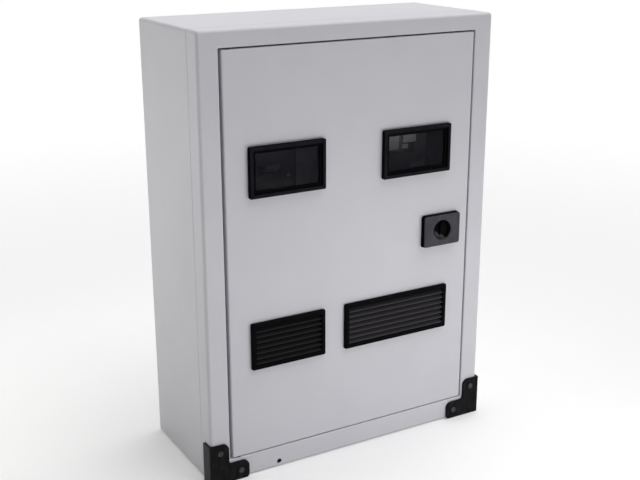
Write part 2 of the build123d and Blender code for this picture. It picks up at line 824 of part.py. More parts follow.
# Outgoing breaker, grooved at the back for the rail
with BuildPart() as breaker_case:
    add(switch_case(0, rail_rise, breaker_width, breaker_height, breaker_depth))
    groove = (-breaker_width / 2, breaker_width / 2, rail_rise - rail_height / 2, rail_rise + rail_height / 2)
    extrude(panel(plate_y, grown(groove, fit)), rail_depth + fit, mode=Mode.SUBTRACT)

# Rail: top-hat section across the plate
with BuildPart() as device_rail:
    with BuildSketch(sideways(-rail_length / 2, plate_y, rail_rise)):
        Rectangle(rail_sheet, rail_web, align=(Align.MAX, Align.CENTER))
        for side in (-1, 1):
            with Locations((0, side * (rail_web - rail_sheet) / 2)):
                Rectangle(rail_depth, rail_sheet, align=(Align.MAX, Align.CENTER))
            with Locations((rail_sheet - rail_depth, side * (rail_height + rail_web - 2 * rail_sheet) / 4)):
                Rectangle(
                    rail_sheet, (rail_height - rail_web) / 2 + rail_sheet, align=(Align.MAX, Align.CENTER)
                )
    extrude(amount=rail_length)
    with BuildSketch(facing(plate_y)):
        with Locations(*rail_screw_places):
            Circle(rail_screw_radius + screw_fit)
    extrude(amount=rail_sheet, mode=Mode.SUBTRACT)


def bar_screw_places(x):
    """Returns the places of the screws along a terminal bar."""
    row = GridLocations(bar_screw_pitch, 0, bar_screw_count, 1)
    return [(x + place.position.X, bar_rise) for place in row]


def terminal_bar(x):
    """Returns a terminal bar with a wire hole and a screw hole for each terminal."""
    rear_y = plate_y - support_depth
    with BuildPart() as bar:
        extrude(panel(rear_y, centred(x, bar_rise, bar_length, bar_height)), bar_depth)
        with BuildSketch(Plane.XY.offset(bar_rise - bar_height / 2)):
            with Locations((x, rear_y - bar_depth / 2)):
                with GridLocations(bar_screw_pitch, 0, bar_screw_count, 1):
                    Circle(wire_hole_radius)
        extrude(amount=bar_height, mode=Mode.SUBTRACT)
        with BuildSketch(facing(rear_y)):
            with Locations(*bar_screw_places(x)):
                Circle(bar_screw_radius + running_fit)
        extrude(amount=bar_depth, mode=Mode.SUBTRACT)
    return bar.part


# Insulating supports under both terminal bars
with BuildPart() as bar_supports:
    with BuildSketch(facing(plate_y, 0, bar_rise)):
        with GridLocations(bar_pitch, 0, 2, 1):
            with GridLocations(bar_length - support_width, 0, 2, 1):
                RectangleRounded(support_width, support_height, support_corner)
    extrude(amount=support_depth)

# Gland plate on the bottom, with a rubber grommet in each hole
grommet_grid = GridLocations(grommet_pitch, 0, grommet_count, 1)
gland_screw_grid = GridLocations(gland_width + gland_lap, gland_depth + gland_lap, 2, 2)
gland_top = sheet + gland_thickness
with BuildPart() as gland_plate:
    with BuildSketch(Plane((0, gland_y, sheet))):
        RectangleRounded(gland_width + 2 * gland_lap, gland_depth + 2 * gland_lap, gland_corner)
        with grommet_grid:
            Circle(grommet_neck + screw_fit, mode=Mode.SUBTRACT)
        with gland_screw_grid:
            Circle(gland_screw_radius + screw_fit, mode=Mode.SUBTRACT)
    extrude(amount=gland_thickness)
with BuildPart() as gland_screws:
    with BuildSketch(Plane((0, gland_y, gland_top))):
        with gland_screw_grid:
            Circle(gland_screw_head_radius)
    extrude(amount=gland_screw_head_height)
    with BuildSketch(Plane((0, gland_y, gland_top))):
        with gland_screw_grid:
            Circle(gland_screw_radius)
    extrude(amount=-gland_top + gland_screw_clear)
with BuildPart() as cable_grommets:
    for top, bottom, radius in (
        (sheet, sheet - grommet_rim, grommet_flange),
        (gland_top, sheet, grommet_neck),
        (gland_top + grommet_collar, gland_top, grommet_flange),
    ):
        with BuildSketch(Plane((0, gland_y, bottom))):
            with grommet_grid:
                Circle(radius)
                Circle(grommet_bore, mode=Mode.SUBTRACT)
        extrude(amount=top - bottom)

pieces = {
    "cabinet_body": cabinet_body.part,
    "front_frame": front_frame.part,
    "hinge_pins": hinge_pins.part,
    "hinge_washers": hinge_washers.part,
    "left_corner_guard": left_corner_guard.part,
    "right_corner_guard": right_corner_guard.part,
    "guard_screws": screws(
        front_y - guard_thickness, guard_screw_places, guard_screw_radius, guard_screw_length,
        guard_screw_head_radius, guard_screw_head_height,
    ),
    "door_panel": door_panel.part,
    "door_gasket": door_gasket.part,
    "left_window_frame": window_frame(left_window_x),
    "right_window_frame": window_frame(right_window_x),
    "left_window_pane": window_pane(left_window_x),
    "right_window_pane": window_pane(right_window_x),
    "left_window_retainer": window_retainer(left_window_x),
    "right_window_retainer": window_retainer(right_window_x),
    "left_vent_grille": vent_grille(left_vent_x, left_vent_width),
    "right_vent_grille": vent_grille(right_vent_x, right_vent_width),
    "left_vent_filter": vent_filter(left_vent_x, left_vent_width),
    "right_vent_filter": vent_filter(right_vent_x, right_vent_width),
    "left_vent_retainer": vent_retainer(left_vent_x, left_vent_width),
    "right_vent_retainer": vent_retainer(right_vent_x, right_vent_width),
    "lock_housing": lock_housing.part,
    "lock_nut": lock_nut.part,
    "lock_knob": lock_knob.part,
    "lock_cam": lock_cam.part,
    "lock_cam_screw": lock_cam_screw.part,
    "mounting_plate": mounting_plate.part,
    "plate_standoffs": plate_standoffs.part,
    "plate_nuts": plate_nuts.part,
    "meter_case": meter_case.part,
    "meter_display": meter_display.part,
    "meter_terminal_cover": meter_terminal_cover.part,
    "meter_cover_screws": screws(
        cover_y, cover_screw_places, cover_screw_radius,
        meter_cover_depth - meter_base + cover_screw_engagement - fit,
        cover_screw_head_radius, cover_screw_head_height,
    ),
    "main_switch_case": main_switch_case.part,
    "main_switch_lever": switch_lever(switch_x, switch_z, switch_depth),
    "main_switch_screws": screws(
        plate_y - switch_depth + nose_step, switch_screw_places, switch_screw_radius,
        switch_depth - nose_step + plate_thickness, switch_screw_head_radius, switch_screw_head_height,
    ),
    "breaker_case": breaker_case.part,
    "breaker_lever": switch_lever(0, rail_rise, breaker_depth),
    "device_rail": device_rail.part,
    "rail_screws": screws(
        plate_y - rail_sheet, rail_screw_places, rail_screw_radius, rail_sheet + plate_thickness,
        rail_screw_head_radius, rail_screw_head_height,
    ),
    "neutral_bar": terminal_bar(-bar_pitch / 2),
    "earth_bar": terminal_bar(bar_pitch / 2),
    "bar_supports": bar_supports.part,
    "bar_screws": screws(
        plate_y - support_depth - bar_depth,
        bar_screw_places(-bar_pitch / 2) + bar_screw_places(bar_pitch / 2),
        bar_screw_radius, bar_screw_length, bar_screw_head_radius, bar_screw_head_height,
    ),
    "gland_plate": gland_plate.part,
    "gland_screws": gland_screws.part,
    "cable_grommets": cable_grommets.part,
}

os.makedirs("parts", exist_ok=True)
for name, piece in pieces.items():
    piece.label = name
    export_step(piece, f"parts/{name}.step")
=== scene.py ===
"""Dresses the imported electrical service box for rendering, in the frame of its parts and in metres."""

import logging
from abc import ABC, abstractmethod
from dataclasses import dataclass, field
from enum import Enum
from functools import cached_property
from math import cos, pi, radians, sin
from typing import Any, ClassVar

import bpy
import numpy as np
from bpy.types import Material, Node, NodeSocket as Socket, Object, World
from mathutils import Matrix, Vector

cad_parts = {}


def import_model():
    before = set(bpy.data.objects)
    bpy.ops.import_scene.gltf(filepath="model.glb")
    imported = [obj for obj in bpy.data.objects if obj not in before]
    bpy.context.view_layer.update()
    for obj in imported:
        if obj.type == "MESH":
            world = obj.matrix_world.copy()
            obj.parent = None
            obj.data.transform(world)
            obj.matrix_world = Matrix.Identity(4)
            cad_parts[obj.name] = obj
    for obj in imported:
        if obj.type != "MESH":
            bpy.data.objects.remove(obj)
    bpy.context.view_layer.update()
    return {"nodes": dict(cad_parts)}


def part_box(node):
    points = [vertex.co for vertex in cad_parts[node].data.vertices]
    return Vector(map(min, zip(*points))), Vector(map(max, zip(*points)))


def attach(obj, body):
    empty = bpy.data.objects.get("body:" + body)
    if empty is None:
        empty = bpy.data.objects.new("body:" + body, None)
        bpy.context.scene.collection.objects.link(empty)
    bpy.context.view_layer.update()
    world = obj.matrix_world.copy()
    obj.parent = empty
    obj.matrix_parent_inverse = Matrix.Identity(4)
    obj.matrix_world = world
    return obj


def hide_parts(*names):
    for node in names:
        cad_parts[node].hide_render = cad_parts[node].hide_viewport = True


log = logging.getLogger("service_box")

MM = 0.001

Colour = tuple[float, float, float]
Stretch = tuple[float, float, float]
Span = tuple[float, float]

# How many octaves a noise has.
FINE, SOFT, CLOUDY = 1.0, 2.0, 3.0

# A noise's factors where it isn't stretched.
EVEN = (1.0, 1.0, 1.0)


def tone(*levels: float) -> Colour:
    """Turns display levels into a linear colour by the display's standard curve.

    Args:
        levels: Red, green and blue from 0 to 255.

    Returns:
        The linear red, green and blue.
    """
    share = np.array(levels) / 255
    linear = np.where(share <= 0.04045, share / 12.92, ((share + 0.055) / 1.055) ** 2.4)
    return tuple(linear.tolist())


def scaled(colour: Colour, factor: float, lift: float = 0.0) -> Colour:
    """Gives a colour times a factor, plus a lift."""
    return tuple(value * factor + lift for value in colour)


class Body(Enum):
    """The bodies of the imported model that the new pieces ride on."""

    CABINET = "cabinet"
    DOOR = "door"
    LOCK = "lock"


class Drive(Enum):
    """The recess in a screw's head."""

    CROSS = "cross"
    SLOT = "slot"
    HEXAGON = "hexagon"
    PLAIN = "plain"


class LampKind(Enum):
    """The lamps that light the scene: a wide far one and a near card."""

    SUN = "SUN"
    CARD = "AREA"


class Signal:
    """A number that varies over a surface: an output socket with arithmetic on it."""

    def __init__(self, graph: "Graph", socket: Socket) -> None:
        """Keeps the graph and the socket."""
        self.graph = graph
        self.socket = socket

    def _math(self, operation: str, first: Any, second: Any) -> "Signal":
        """Adds a Math node on two signals or numbers."""
        return self.graph.signal("ShaderNodeMath", {"operation": operation}, {0: first, 1: second})

    def __add__(self, other: Any) -> "Signal":
        """Adds."""
        return self._math("ADD", self, other)

    __radd__ = __add__

    def __sub__(self, other: Any) -> "Signal":
        """Subtracts."""
        return self._math("SUBTRACT", self, other)

    def __rsub__(self, other: Any) -> "Signal":
        """Subtracts from a number."""
        return self._math("SUBTRACT", other, self)

    def __mul__(self, other: Any) -> "Signal":
        """Multiplies."""
        return self._math("MULTIPLY", self, other)

    __rmul__ = __mul__

    def __abs__(self) -> "Signal":
        """Drops the sign."""
        return self._math("ABSOLUTE", self, 0.0)

    def larger(self, other: Any) -> "Signal":
        """Gives the larger of two."""
        return self._math("MAXIMUM", self, other)

    def eased(self, low: float, high: float) -> "Signal":
        """Rises smoothly from 0 at low to 1 at high."""
        sockets = {"Value": self, "From Min": low, "From Max": high}
        return self.graph.signal("ShaderNodeMapRange", {"interpolation_type": "SMOOTHSTEP"}, sockets)

    def about(self, middle: Any, swing: float) -> Any:
        """Varies a number or a signal about its middle, by the swing in all."""
        return middle + swing * (self - 0.5) if swing else middle

    def mix(self, low: Any, high: Any) -> Socket:
        """Mixes two colours, with the signal as the factor.

        Args:
            low: The colour, or a colour socket, where the signal is 0.
            high: The colour, or a colour socket, where the signal is 1.

        Returns:
            The mixed colour's socket.
        """
        sockets = {"Factor_Float": self, "A_Color": low, "B_Color": high}
        node = self.graph.node("ShaderNodeMix", {"data_type": "RGBA"}, sockets)
        return self.graph.output(node, "Result_Color")


class Graph:
    """The node tree of a material or a world, with one way to add a node."""

    edge_span: ClassVar[Span] = (0.03, 0.3)
    edge_samples: ClassVar[int] = 6
    round_samples: ClassVar[int] = 4

    def __init__(self, owner: Material | World) -> None:
        """Takes over the owner's tree and empties it.

        Args:
            owner: The material or the world.
        """
        owner.use_nodes = True
        self.owner = owner
        self.tree = owner.node_tree
        self.tree.nodes.clear()

    @cached_property
    def place(self) -> Socket:
        """The socket of the Object coordinates."""
        return self.output(self.node("ShaderNodeTexCoord"), "Object")

    def node(
        self, kind: str, settings: dict[str, Any] | None = None, sockets: dict[Any, Any] | None = None
    ) -> Node:
        """Adds a node, sets it up and feeds its sockets.

        Args:
            kind: The node's type.
            settings: Its properties.
            sockets: Values, signals or sockets by a socket's identifier, name or number.

        Returns:
            The new node.
        """
        made = self.tree.nodes.new(kind)
        for name, value in (settings or {}).items():
            setattr(made, name, value)
        for key, value in (sockets or {}).items():
            self._feed(self._find(made.inputs, key), value)
        return made

    def signal(self, kind: str, settings: dict[str, Any], sockets: dict[Any, Any], out: Any = 0) -> Signal:
        """Adds a node and gives one of its outputs, by identifier, name or number, as a signal."""
        return Signal(self, self._find(self.node(kind, settings, sockets).outputs, out))

    def output(self, node: Node, key: Any) -> Socket:
        """Gives a node's output socket by its identifier, name or number."""
        return self._find(node.outputs, key)

    def along(self, axis: str) -> Signal:
        """Gives one of the Object coordinates in metres."""
        return self.signal("ShaderNodeSeparateXYZ", {}, {0: self.place}, axis)

    def seen(self) -> Signal:
        """Tells the rays that see a surface from those that light it.

        Returns:
            1 for rays from the camera and for mirrored or transmitted ones, and 0 for the rest.
        """
        path = self.node("ShaderNodeLightPath")
        kinds = ("Is Camera Ray", "Is Glossy Ray", "Is Transmission Ray")
        camera, mirrored, through = (Signal(self, self.output(path, kind)) for kind in kinds)
        return camera.larger(mirrored).larger(through)

    def edges(self, width: float) -> Signal:
        """Marks the sharp edges.

        The mark is one less the dot product of the true normal and the one rounded over the width.

        Args:
            width: How far from an edge the mark reaches, in metres.

        Returns:
            The mark, from 0 on flats to 1 along edges.
        """
        rounded = self.node("ShaderNodeBevel", {"samples": self.edge_samples}, {"Radius": width})
        true = self.node("ShaderNodeNewGeometry")
        sockets = {0: self.output(rounded, "Normal"), 1: self.output(true, "Normal")}
        likeness = self.signal("ShaderNodeVectorMath", {"operation": "DOT_PRODUCT"}, sockets, "Value")
        return (1 - likeness).eased(*self.edge_span)

    def noise(self, size: float, detail: float = SOFT, stretch: Stretch = EVEN) -> Signal:
        """Adds a noise pattern on Object coordinates.

        Args:
            size: The pattern's grain in metres.
            detail: How many octaves it has.
            stretch: Factors on the coordinates, above 1 to squeeze the grain along that axis.

        Returns:
            The noise from 0 to 1.
        """
        place = self.node("ShaderNodeMapping", {}, {"Vector": self.place, "Scale": stretch})
        sockets = {"Vector": self.output(place, "Vector"), "Scale": 1 / size, "Detail": detail}
        return self.signal("ShaderNodeTexNoise", {}, sockets, "Fac")

    def cells(self, size: float, feature: str = "F1") -> Signal:
        """Gives a distance within each cell of a pattern on Object coordinates, a cell's width in metres."""
        sockets = {"Vector": self.place, "Scale": 1 / size}
        return self.signal("ShaderNodeTexVoronoi", {"feature": feature}, sockets, "Distance")

    def bump(self, height: Signal, depth: float, edge: float = 0.0) -> Socket:
        """Adds a bump over rounded edges.

        Args:
            height: The relief from 0 to 1.
            depth: The relief's depth in metres.
            edge: The radius that sharp edges look rounded by, in metres.

        Returns:
            The normal's socket.
        """
        sockets = {"Height": height, "Distance": depth, "Strength": 1.0}
        if edge:
            rounded = self.node("ShaderNodeBevel", {"samples": self.round_samples}, {"Radius": edge})
            sockets["Normal"] = self.output(rounded, "Normal")
        return self.output(self.node("ShaderNodeBump", {}, sockets), "Normal")

    def part(self, plain: Node, bright: Node, end: str) -> None:
        """Closes the tree with one shader as light meets it and another as it is seen.

        Args:
            plain: The shader that gives and takes light.
            bright: The shader for the camera and for mirrored or transmitted rays.
            end: The output node's type.
        """
        shades = {0: self.seen(), 1: self.output(plain, 0), 2: self.output(bright, 0)}
        mixed = self.node("ShaderNodeMixShader", {}, shades)
        self.node(end, {}, {"Surface": self.output(mixed, 0)})

    def _feed(self, socket: Socket, value: Any) -> None:
        """Links a signal or a socket, or sets a plain value.

        Args:
            socket: The input that is fed.
            value: What feeds it.
        """
        if isinstance(value, Signal):
            value = value.socket
        if isinstance(value, Socket):
            self.tree.links.new(value, socket)
        elif socket.type == "RGBA" and len(value) == 3:
            socket.default_value = (*value, 1.0)
        else:
            socket.default_value = value

    @staticmethod
    def _find(sockets: Any, key: Any) -> Socket:
        """Finds a socket by its identifier, name or number."""
        match = [socket for socket in sockets if socket.identifier == key]
        return match[0] if match else sockets[key]


@dataclass(frozen=True, kw_only=True)
class Finish(ABC):
    """A surface finish that makes its material once."""

    name: str
    roughness: float = 0.55
    uneven: float = 0.1
    gloss: float = 0.5
    made: ClassVar[dict["Finish", Material]] = {}

    def material(self) -> Material:
        """Makes the material at the first call: the finish's nodes, a shader and an output.

        Returns:
            The finish's material.
        """
        if self not in Finish.made:
            graph = Graph(bpy.data.materials.new(self.name))
            sockets = {"Specular IOR Level": self.gloss} | self.sockets(graph)
            shader = graph.node("ShaderNodeBsdfPrincipled", {}, sockets)
            graph.node("ShaderNodeOutputMaterial", {}, {"Surface": graph.output(shader, "BSDF")})
            Finish.made[self] = graph.owner
        return Finish.made[self]

    @abstractmethod
    def sockets(self, graph: Graph) -> dict[str, Any]:
        """Adds the finish's nodes and gives what feeds the shader's sockets."""


@dataclass(frozen=True, kw_only=True)
class Grained(Finish):
    """A surface with a fine raised grain and a wide flow that varies its colour and its gloss."""

    metallic: float = 0.0
    speckle: float = 0.0
    patches: Span = (0.3, 0.7)
    flow: float = 24 * MM
    flow_detail: float = SOFT
    flow_stretch: Stretch = EVEN
    grain: float = 0.5 * MM
    grain_stretch: Stretch = EVEN
    grain_depth: float = 0.012 * MM
    edge: float = 0.4 * MM

    def sockets(self, graph: Graph) -> dict[str, Any]:
        """Makes the flow and the grain from two noises and raises the grain over eased edges.

        Args:
            graph: The material's tree.

        Returns:
            What feeds the shader's sockets.
        """
        flow = graph.noise(self.flow, self.flow_detail, self.flow_stretch)
        grain = graph.noise(self.grain, FINE, self.grain_stretch)
        return {
            "Base Color": self.colouring(graph, flow),
            "Metallic": self.metallic,
            "Roughness": grain.about(flow.about(self.roughness, self.uneven), self.speckle),
            "Normal": graph.bump(grain, self.grain_depth, self.edge),
        }

    @abstractmethod
    def colouring(self, graph: Graph, flow: Signal) -> Socket:
        """Gives the colour's socket, worked out from the flow and the place."""


@dataclass(frozen=True, kw_only=True)
class TwoTone(Grained):
    """A grained surface of two near colours."""

    colour: Colour
    second: Colour

    def colouring(self, graph: Graph, flow: Signal) -> Socket:
        """Mixes the second colour in where the flow is high."""
        return flow.eased(*self.patches).mix(self.colour, self.second)


@dataclass(frozen=True, kw_only=True)
class PowderCoat(TwoTone):
    """Baked powder paint: a fine orange-peel skin with a soft gloss and a faint cloudiness."""

    name: str = "powder_coat"
    colour: Colour = tone(206, 205, 211)
    second: Colour = tone(208, 207, 213)
    patches: Span = (0.35, 0.65)
    flow: float = 70 * MM
    flow_detail: float = CLOUDY
    roughness: float = 0.46
    uneven: float = 0.0
    speckle: float = 0.06
    grain: float = 1.3 * MM
    grain_depth: float = 0.006 * MM
    edge: float = 0.0


@dataclass(frozen=True, kw_only=True)
class PlatedMetal(TwoTone):
    """Plated or plain metal with a drawn grain and a cloudy passivation as its second colour."""

    metallic: float = 1.0
    uneven: float = 0.08
    speckle: float = 0.06
    patches: Span = (0.35, 0.7)
    flow: float = 18 * MM
    flow_detail: float = CLOUDY
    grain_stretch: Stretch = (0.08, 1.0, 1.0)
    grain_depth: float = 0.004 * MM
    edge: float = 0.2 * MM


@dataclass(frozen=True, kw_only=True)
class MouldedPlastic(Grained):
    """Injection-moulded plastic with spark-eroded grain, its colour a little paler in patches."""

    colour: Colour
    speckle: float = 0.05
    gloss: float = 0.2
    fade: float = 0.12
    fade_floor: float = 0.004
    # A painted highlight along the edges: how far the colour is lifted there.
    edge_highlight: float = 0.0

    def colouring(self, graph: Graph, flow: Signal) -> Socket:
        """Lightens the colour a little by the flow, and more along the edges as a painted highlight.

        Args:
            graph: The material's tree.
            flow: The wide noise.

        Returns:
            The colour's socket.
        """
        pale = scaled(self.colour, 1 + self.fade, self.fade * self.fade_floor)
        body = flow.eased(*self.patches).mix(self.colour, pale)
        if not self.edge_highlight:
            return body
        return graph.edges(2 * self.edge).mix(body, scaled(self.colour, 1, self.edge_highlight))


@dataclass(frozen=True, kw_only=True)
class GuardPlastic(TwoTone):
    """Tough moulded plastic, near black and scuffed in front, with a painted sheen that makes it paler
    towards its sides.
    """

    side: float
    name: str = "guard_plastic"
    colour: Colour = tone(14, 14, 16)
    second: Colour = tone(30, 30, 32)
    patches: Span = (0.35, 0.75)
    # The pale colour is a painted sheen on the sides, where reflected light falls.
    pale: Colour = tone(62, 62, 64)
    sheen_band: Span = (1.2 * MM, 0.2 * MM)
    uneven: float = 0.12
    gloss: float = 0.06
    flow: float = 7 * MM
    flow_detail: float = CLOUDY
    flow_stretch: Stretch = (1.0, 1.0, 0.4)
    grain: float = 0.6 * MM
    grain_depth: float = 0.02 * MM
    edge: float = 0.8 * MM

    def colouring(self, graph: Graph, flow: Signal) -> Socket:
        """Mixes in the paler colour, a painted sheen, beyond the side's distance from the middle."""
        beyond = abs(graph.along("X")).eased(*(self.side - inset for inset in self.sheen_band))
        return beyond.mix(super().colouring(graph, flow), self.pale)


@dataclass(frozen=True, kw_only=True)
class GrillePlastic(Grained):
    """Moulded plastic with a rim painted near black as shade and slats painted paler as lit, with a painted
    highlight along their edges.
    """

    middle_x: float
    middle_z: float
    half_width: float
    half_height: float
    slat: Colour
    # The rim is painted near black as shade; the slats' paler colour is painted light.
    rim: Colour = tone(8, 8, 10)
    blur: float = 0.2 * MM
    gloss: float = 0.02
    # How much the painted highlight lifts the slats' colour along their edges.
    edge_highlight_lift: float = 2.6
    edge_reach: float = 0.8 * MM

    def colouring(self, graph: Graph, flow: Signal) -> Socket:
        """Mixes in the slats' lit colour inside the shaded rim, and a painted highlight along their edges.

        Args:
            graph: The material's tree.
            flow: The wide noise.

        Returns:
            The colour's socket.
        """
        across, up = abs(graph.along("X") - self.middle_x), abs(graph.along("Z") - self.middle_z)
        within = across.eased(self.half_width, self.half_width - self.blur)
        between = up.eased(self.half_height, self.half_height - self.blur)
        slats = graph.edges(self.edge_reach).mix(self.slat, scaled(self.slat, self.edge_highlight_lift))
        return (within * between).mix(self.rim, slats)


@dataclass(frozen=True, kw_only=True)
class FaceOverShadedWallPlastic(TwoTone):
    """Moulded plastic with its own colour on the face and black painted shade on the walls behind it."""

    face_y: float
    depth: float
    join: Span = (0.8, 1.2)
    # Black painted shade for the walls behind the face.
    painted_wall_shade: Colour = tone(5, 5, 6)
    roughness: float = 0.5
    gloss: float = 0.02
    flow: float = 20 * MM
    grain_depth: float = 0.01 * MM

    def colouring(self, graph: Graph, flow: Signal) -> Socket:
        """Mixes in the black painted shade behind the face's depth."""
        behind = graph.along("Y").eased(*(self.face_y + share * self.depth for share in self.join))
        return behind.mix(super().colouring(graph, flow), self.inner(graph))

    def inner(self, graph: Graph) -> Any:
        """Gives the painted shade behind the face."""
        return self.painted_wall_shade


@dataclass(frozen=True, kw_only=True)
class DishedPlastic(FaceOverShadedWallPlastic):
    """Moulded plastic with a round well, painted black as shade, with painted light on its lower left side.
    """

    axis_x: float
    axis_z: float
    radius: float = 17 * MM
    rim: Span = (1.04, 0.96)
    slant: Span = (-0.52, -0.85)
    # The band over which painted light on the well's lower left fades in.
    painted_light: Span = (5 * MM, 8.5 * MM)

    def inner(self, graph: Graph) -> Any:
        """Mixes the face's colour into the well towards the lower left, as painted light over the well's
        painted shade.

        Args:
            graph: The material's tree.

        Returns:
            The colour's socket.
        """
        x, z = graph.along("X") - self.axis_x, graph.along("Z") - self.axis_z
        within = (x * x + z * z).eased(*(share * self.radius**2 for share in self.rim))
        painted_light = (self.slant[0] * x + self.slant[1] * z).eased(*self.painted_light)
        return (within * painted_light).mix(self.painted_wall_shade, self.second)


@dataclass(frozen=True, kw_only=True)
class TintedPane(Finish):
    """Smoke-tinted clear plastic with a smooth face and a trace of flow lines."""

    name: str = "tinted_pane"
    colour: Colour = tone(40, 38, 45)
    streak: Colour = tone(48, 46, 54)
    flow: float = 30 * MM
    flow_stretch: Stretch = (1.0, 1.0, 3.0)
    opacity: float = 0.2628
    streaks: float = 0.0456
    roughness: float = 0.07
    uneven: float = 0.03
    gloss: float = 0.05

    def sockets(self, graph: Graph) -> dict[str, Any]:
        """Lets part of the light through and varies the gloss along the flow.

        Args:
            graph: The material's tree.

        Returns:
            What feeds the shader's sockets.
        """
        flow = graph.noise(self.flow, SOFT, self.flow_stretch)
        return {
            "Base Color": flow.mix(self.colour, self.streak),
            "Roughness": self.roughness + self.uneven * flow,
            "Alpha": flow.about(self.opacity, -self.streaks),
        }


@dataclass(frozen=True, kw_only=True)
class FoamRubber(Finish):
    """Closed-cell foam rubber with fine pores."""

    colour: Colour
    pore: float = 0.7 * MM
    pore_depth: float = 0.15 * MM
    pore_span: Span = (0.0, 0.6)
    # The pores' colour is painted shade: the colour times this share.
    pore_shade_share: float = 0.55
    roughness: float = 0.85
    gloss: float = 0.2

    def sockets(self, graph: Graph) -> dict[str, Any]:
        """Darkens the pores of a cell pattern with painted shade and sinks them.

        Args:
            graph: The material's tree.

        Returns:
            What feeds the shader's sockets.
        """
        cell = graph.cells(self.pore)
        return {
            "Base Color": cell.eased(*self.pore_span).mix(scaled(self.colour, self.pore_shade_share), self.colour),
            "Roughness": cell.about(self.roughness, self.uneven),
            "Normal": graph.bump(cell, self.pore_depth),
        }


@dataclass(frozen=True, kw_only=True)
class FibreMat(Finish):
    """Bonded filter fibre: streaks in two directions over an open, matt body."""

    name: str = "filter_fibre"
    colour: Colour = tone(62, 62, 64)
    # The dark colour is painted shade in the mat's sunk hollows.
    dark: Colour = tone(28, 28, 30)
    dark_span: Span = (0.2, 0.8)
    fibre: float = 1.2 * MM
    run: float = 0.15
    gain: float = 2.0
    depth: float = 0.4 * MM
    roughness: float = 0.85
    gloss: float = 0.15

    def sockets(self, graph: Graph) -> dict[str, Any]:
        """Crosses two squeezed noises and mixes the colours by their product, the dark colour falling where
        the relief is sunk as painted shade.

        Args:
            graph: The material's tree.

        Returns:
            What feeds the shader's sockets.
        """
        along = graph.noise(self.fibre, SOFT, (self.run, 1.0, 1.0))
        across = graph.noise(self.fibre, SOFT, (1.0, 1.0, self.run))
        weave = along * across * self.gain
        return {
            "Base Color": weave.eased(*self.dark_span).mix(self.dark, self.colour),
            "Roughness": self.roughness + self.uneven * weave,
            "Normal": graph.bump(weave, self.depth),
        }


@dataclass(frozen=True, kw_only=True)
class BlankDisplay(Finish):
    """Switched-off liquid-crystal glass: grey-green with a faint grid of unlit cells."""

    name: str = "blank_display"
    colour: Colour = tone(104, 107, 99)
    cell: Colour = tone(94, 97, 90)
    pitch: float = 2.5 * MM
    line_span: Span = (0.02, 0.12)
    roughness: float = 0.12
    uneven: float = 0.05
    haze: float = 9 * MM

    def sockets(self, graph: Graph) -> dict[str, Any]:
        """Darkens the narrow lines of a cell pattern.

        Args:
            graph: The material's tree.

        Returns:
            What feeds the shader's sockets.
        """
        line = graph.cells(self.pitch, "DISTANCE_TO_EDGE")
        return {
            "Base Color": line.eased(*self.line_span).mix(self.cell, self.colour),
            "Roughness": self.roughness + self.uneven * graph.noise(self.haze),
        }


WHITE_STEEL = PowderCoat()
RING_PLASTIC = MouldedPlastic(name="ring_plastic", colour=tone(18, 18, 20), roughness=0.5, gloss=0.1)
NYLON = MouldedPlastic(name="nylon", colour=tone(214, 210, 196), gloss=0.4)
DARK_NYLON = MouldedPlastic(name="dark_nylon", colour=tone(46, 46, 48))
METER_PLASTIC = MouldedPlastic(name="meter_plastic", colour=tone(116, 112, 113))
COVER_PLASTIC = MouldedPlastic(name="cover_plastic", colour=tone(104, 101, 102))
# The switch cases get a faint painted highlight along their edges.
SWITCH_PLASTIC = MouldedPlastic(name="switch_plastic", colour=tone(72, 70, 80), roughness=0.5, edge_highlight=0.03)
LEVER_PLASTIC = MouldedPlastic(name="lever_plastic", colour=tone(70, 70, 73), roughness=0.4, gloss=0.3)
CARD_LACQUER = MouldedPlastic(
    name="card_lacquer", colour=tone(206, 204, 202), roughness=0.4, gloss=0.3, grain_depth=0.003 * MM
)
PANE = TintedPane()
GASKET_FOAM = FoamRubber(name="gasket_foam", colour=tone(34, 34, 36))
GROMMET_RUBBER = FoamRubber(
    name="grommet_rubber", colour=tone(30, 30, 31), pore=0.5 * MM, pore_depth=0.02 * MM, roughness=0.62
)
FILTER_FIBRE = FibreMat()
ZINC = PlatedMetal(name="zinc_steel", colour=tone(182, 186, 192), second=tone(170, 174, 179), roughness=0.56)
BLACKENED = PlatedMetal(
    name="blackened_steel", colour=tone(76, 76, 80), second=tone(58, 58, 61), roughness=0.45
)
BRASS = PlatedMetal(name="brass", colour=tone(206, 172, 104), second=tone(190, 154, 90), roughness=0.42)
DISPLAY = BlankDisplay()


@dataclass
class Shape:
    """A mesh in the making: its points and its faces."""

    points: np.ndarray
    faces: list[list[int]]

    def placed(self, origin: Vector, across: Vector, up: Vector, out: Vector) -> "Shape":
        """Carries the shape to an origin, its own three axes turned to the given directions."""
        axes = np.array([across, up, out], float)
        return Shape(self.points @ axes + np.array(origin, float), self.faces)

    @staticmethod
    def joined(shapes: list["Shape"]) -> "Shape":
        """Joins several shapes into one, with their faces renumbered.

        Args:
            shapes: The shapes.

        Returns:
            The joined shape.
        """
        starts = np.cumsum([0] + [len(shape.points) for shape in shapes])
        faces = [
            [index + int(start) for index in face]
            for start, shape in zip(starts, shapes)
            for face in shape.faces
        ]
        return Shape(np.concatenate([shape.points for shape in shapes]), faces)


